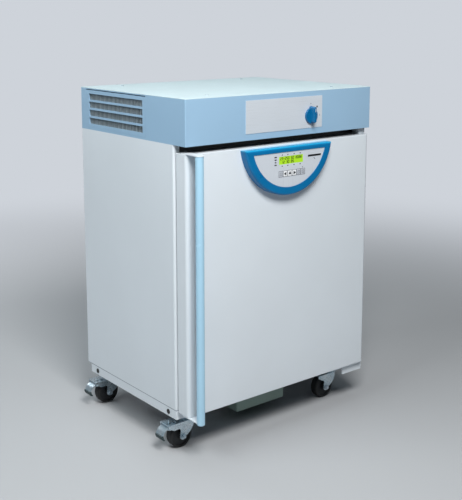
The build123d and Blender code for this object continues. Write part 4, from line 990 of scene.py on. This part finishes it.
# The castors: zinc-plated pressed forks and plates, black wheels, and a dark
# ribbed pad on each brake rocker. Each plate is bolted up with four bolts, and
# a nut holds each end of the axle.
castor_zinc = zinc_plated("castor_zinc", srgb(206, 217, 223), srgb(160, 186, 200), 520.0)
finish_nodes(castor_zinc, "castor_plates")
castor_x, castor_front_y, castor_back_y = 0.308, -0.194, 0.240
bolt_x, bolt_y = 0.035, 0.021
bolt_across, bolt_height = 0.0125, 0.005
nut_across, nut_height = 0.0115, 0.0046
plate_under_z = 0.107
axle_past_fork = 0.003
corners = {
    "front_left": (-castor_x, castor_front_y), "front_right": (castor_x, castor_front_y),
    "back_left": (-castor_x, castor_back_y), "back_right": (castor_x, castor_back_y),
}


def build_wheel_material(corner, axle):
    """A black tread round a dark grey hub, told apart by the distance from the axle."""
    hub_radius, hub_blur = 0.0308, 0.0004
    material, tree, shader = new_material("wheel_" + corner)
    tread = use_group(
        tree, rubber_group, Colour=srgb(13, 15, 17), Bloom=srgb(52, 55, 56), Dust=0.2
    )
    centred = tree.nodes.new("ShaderNodeMapping")
    centred.inputs["Location"].default_value = tuple(-axle)
    tree.links.new(object_place(tree), centred.inputs["Vector"])
    flat = tree.nodes.new("ShaderNodeVectorMath")
    flat.operation = "MULTIPLY"
    flat.inputs[1].default_value = (1.0, 0.0, 1.0)
    tree.links.new(centred.outputs["Vector"], flat.inputs[0])
    distance = tree.nodes.new("ShaderNodeVectorMath")
    distance.operation = "LENGTH"
    tree.links.new(flat.outputs["Vector"], distance.inputs[0])
    from_axle = distance.outputs["Value"]
    hub_mask = remap(tree, from_axle, hub_radius, hub_radius + hub_blur, 1.0, 0.0)
    colour = blend_colours(tree, hub_mask, tread["Colour"], srgb(24, 27, 30))
    tree.links.new(colour, shader.inputs["Base Color"])
    tree.links.new(tread["Roughness"], shader.inputs["Roughness"])
    add_relief(tree, shader, tread["Height"], 0.12, 0.0003)
    return material


def build_pedal_material():
    """A zinc rocker whose low pad is dipped in dark ribbed plastic."""
    pad_top_z, pad_blur = 0.0580, 0.0004
    rib_pitch = 0.0036
    material, tree, shader = new_material("brake_rocker")
    plate = use_group(
        tree, zinc_group, Colour=srgb(200, 212, 219), Tint=srgb(150, 178, 192), Spangle=520.0
    )
    height = split_place(tree, object_place(tree))["Z"]
    dipped = remap(tree, height, pad_top_z, pad_top_z + pad_blur, 1.0, 0.0)
    colour = blend_colours(tree, dipped, plate["Colour"], srgb(44, 62, 64))
    tree.links.new(colour, shader.inputs["Base Color"])
    tree.links.new(remap(tree, dipped, 0.0, 1.0, 0.9, 0.0), shader.inputs["Metallic"])
    tree.links.new(remap(tree, dipped, 0.0, 1.0, 0.32, 0.6), shader.inputs["Roughness"])
    ribs = remap(tree, wave(tree, height, rib_pitch), -0.5, 0.5, 0.0, 1.0)
    add_relief(tree, shader, add_math(tree, "MULTIPLY", ribs, dipped), 0.7, 0.0008)
    return material


def hex_bolt(name, place, body, way, across, height):
    """A hexagon head or nut on its washer, chamfered and slightly dished."""
    washer_radius, washer_height, washer_edge = across * 0.72, 0.0012, 0.0003
    corner_radius, chamfer = across / math.sqrt(3), height * 0.14
    rim, dish = across * 0.12, height * 0.08
    washer, outward = stand_disc(place, way, washer_radius, washer_height, 28)
    soften(washer, washer_edge, 1)
    seat = Vector(place) + outward * washer_height
    head = stand_disc(seat, way, corner_radius, height, 6)[0]
    soften(head, chamfer)
    pick_faces(head, outward)
    bpy.ops.mesh.inset(thickness=rim)
    bpy.ops.transform.translate(value=tuple(-outward * dish))
    bpy.ops.object.mode_set(mode="OBJECT")
    return settle(join_pieces([washer, head]), name, bright_zinc, body)


pedal_material = build_pedal_material()
bolt_places, nut_places = {}, {"front": {}, "back": {}}
for corner, (x, y) in corners.items():
    axle = box_middle("wheel_" + corner)
    fork_low, fork_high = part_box("fork_" + corner)
    finish_nodes(castor_zinc, "fork_" + corner)
    finish_nodes(build_wheel_material(corner, axle), "wheel_" + corner)
    if "left" in corner:
        finish_nodes(pedal_material, "brake_" + corner)
    for number, (across, along) in enumerate(four_ways):
        place = (x + across * bolt_x, y + along * bolt_y, plate_under_z)
        bolt_places[f"castor_bolt_{corner}_{number}"] = (place, "cabinet")
    nut_ys = {"front": fork_low.y + axle_past_fork, "back": fork_high.y - axle_past_fork}
    for end, nut_y in nut_ys.items():
        nut_place = (axle.x, nut_y, axle.z)
        nut_places[end][f"axle_nut_{corner}_{end}"] = (nut_place, "castor_" + corner)
set_out(hex_bolt, bolt_places, "zinc_plated", "down", bolt_across, bolt_height)
for end, places in nut_places.items():
    set_out(hex_bolt, places, "zinc_plated", end, nut_across, nut_height)


# The compressor tray: a plain folded well in grey-green coat, hung under the
# middle of the cabinet between the castors.
tray_coat = coated("tray_grey_coat", srgb(132, 156, 147), clouds=0.05, sheen=(0.5, 0.62))
finish_nodes(tray_coat, "compressor_tray")
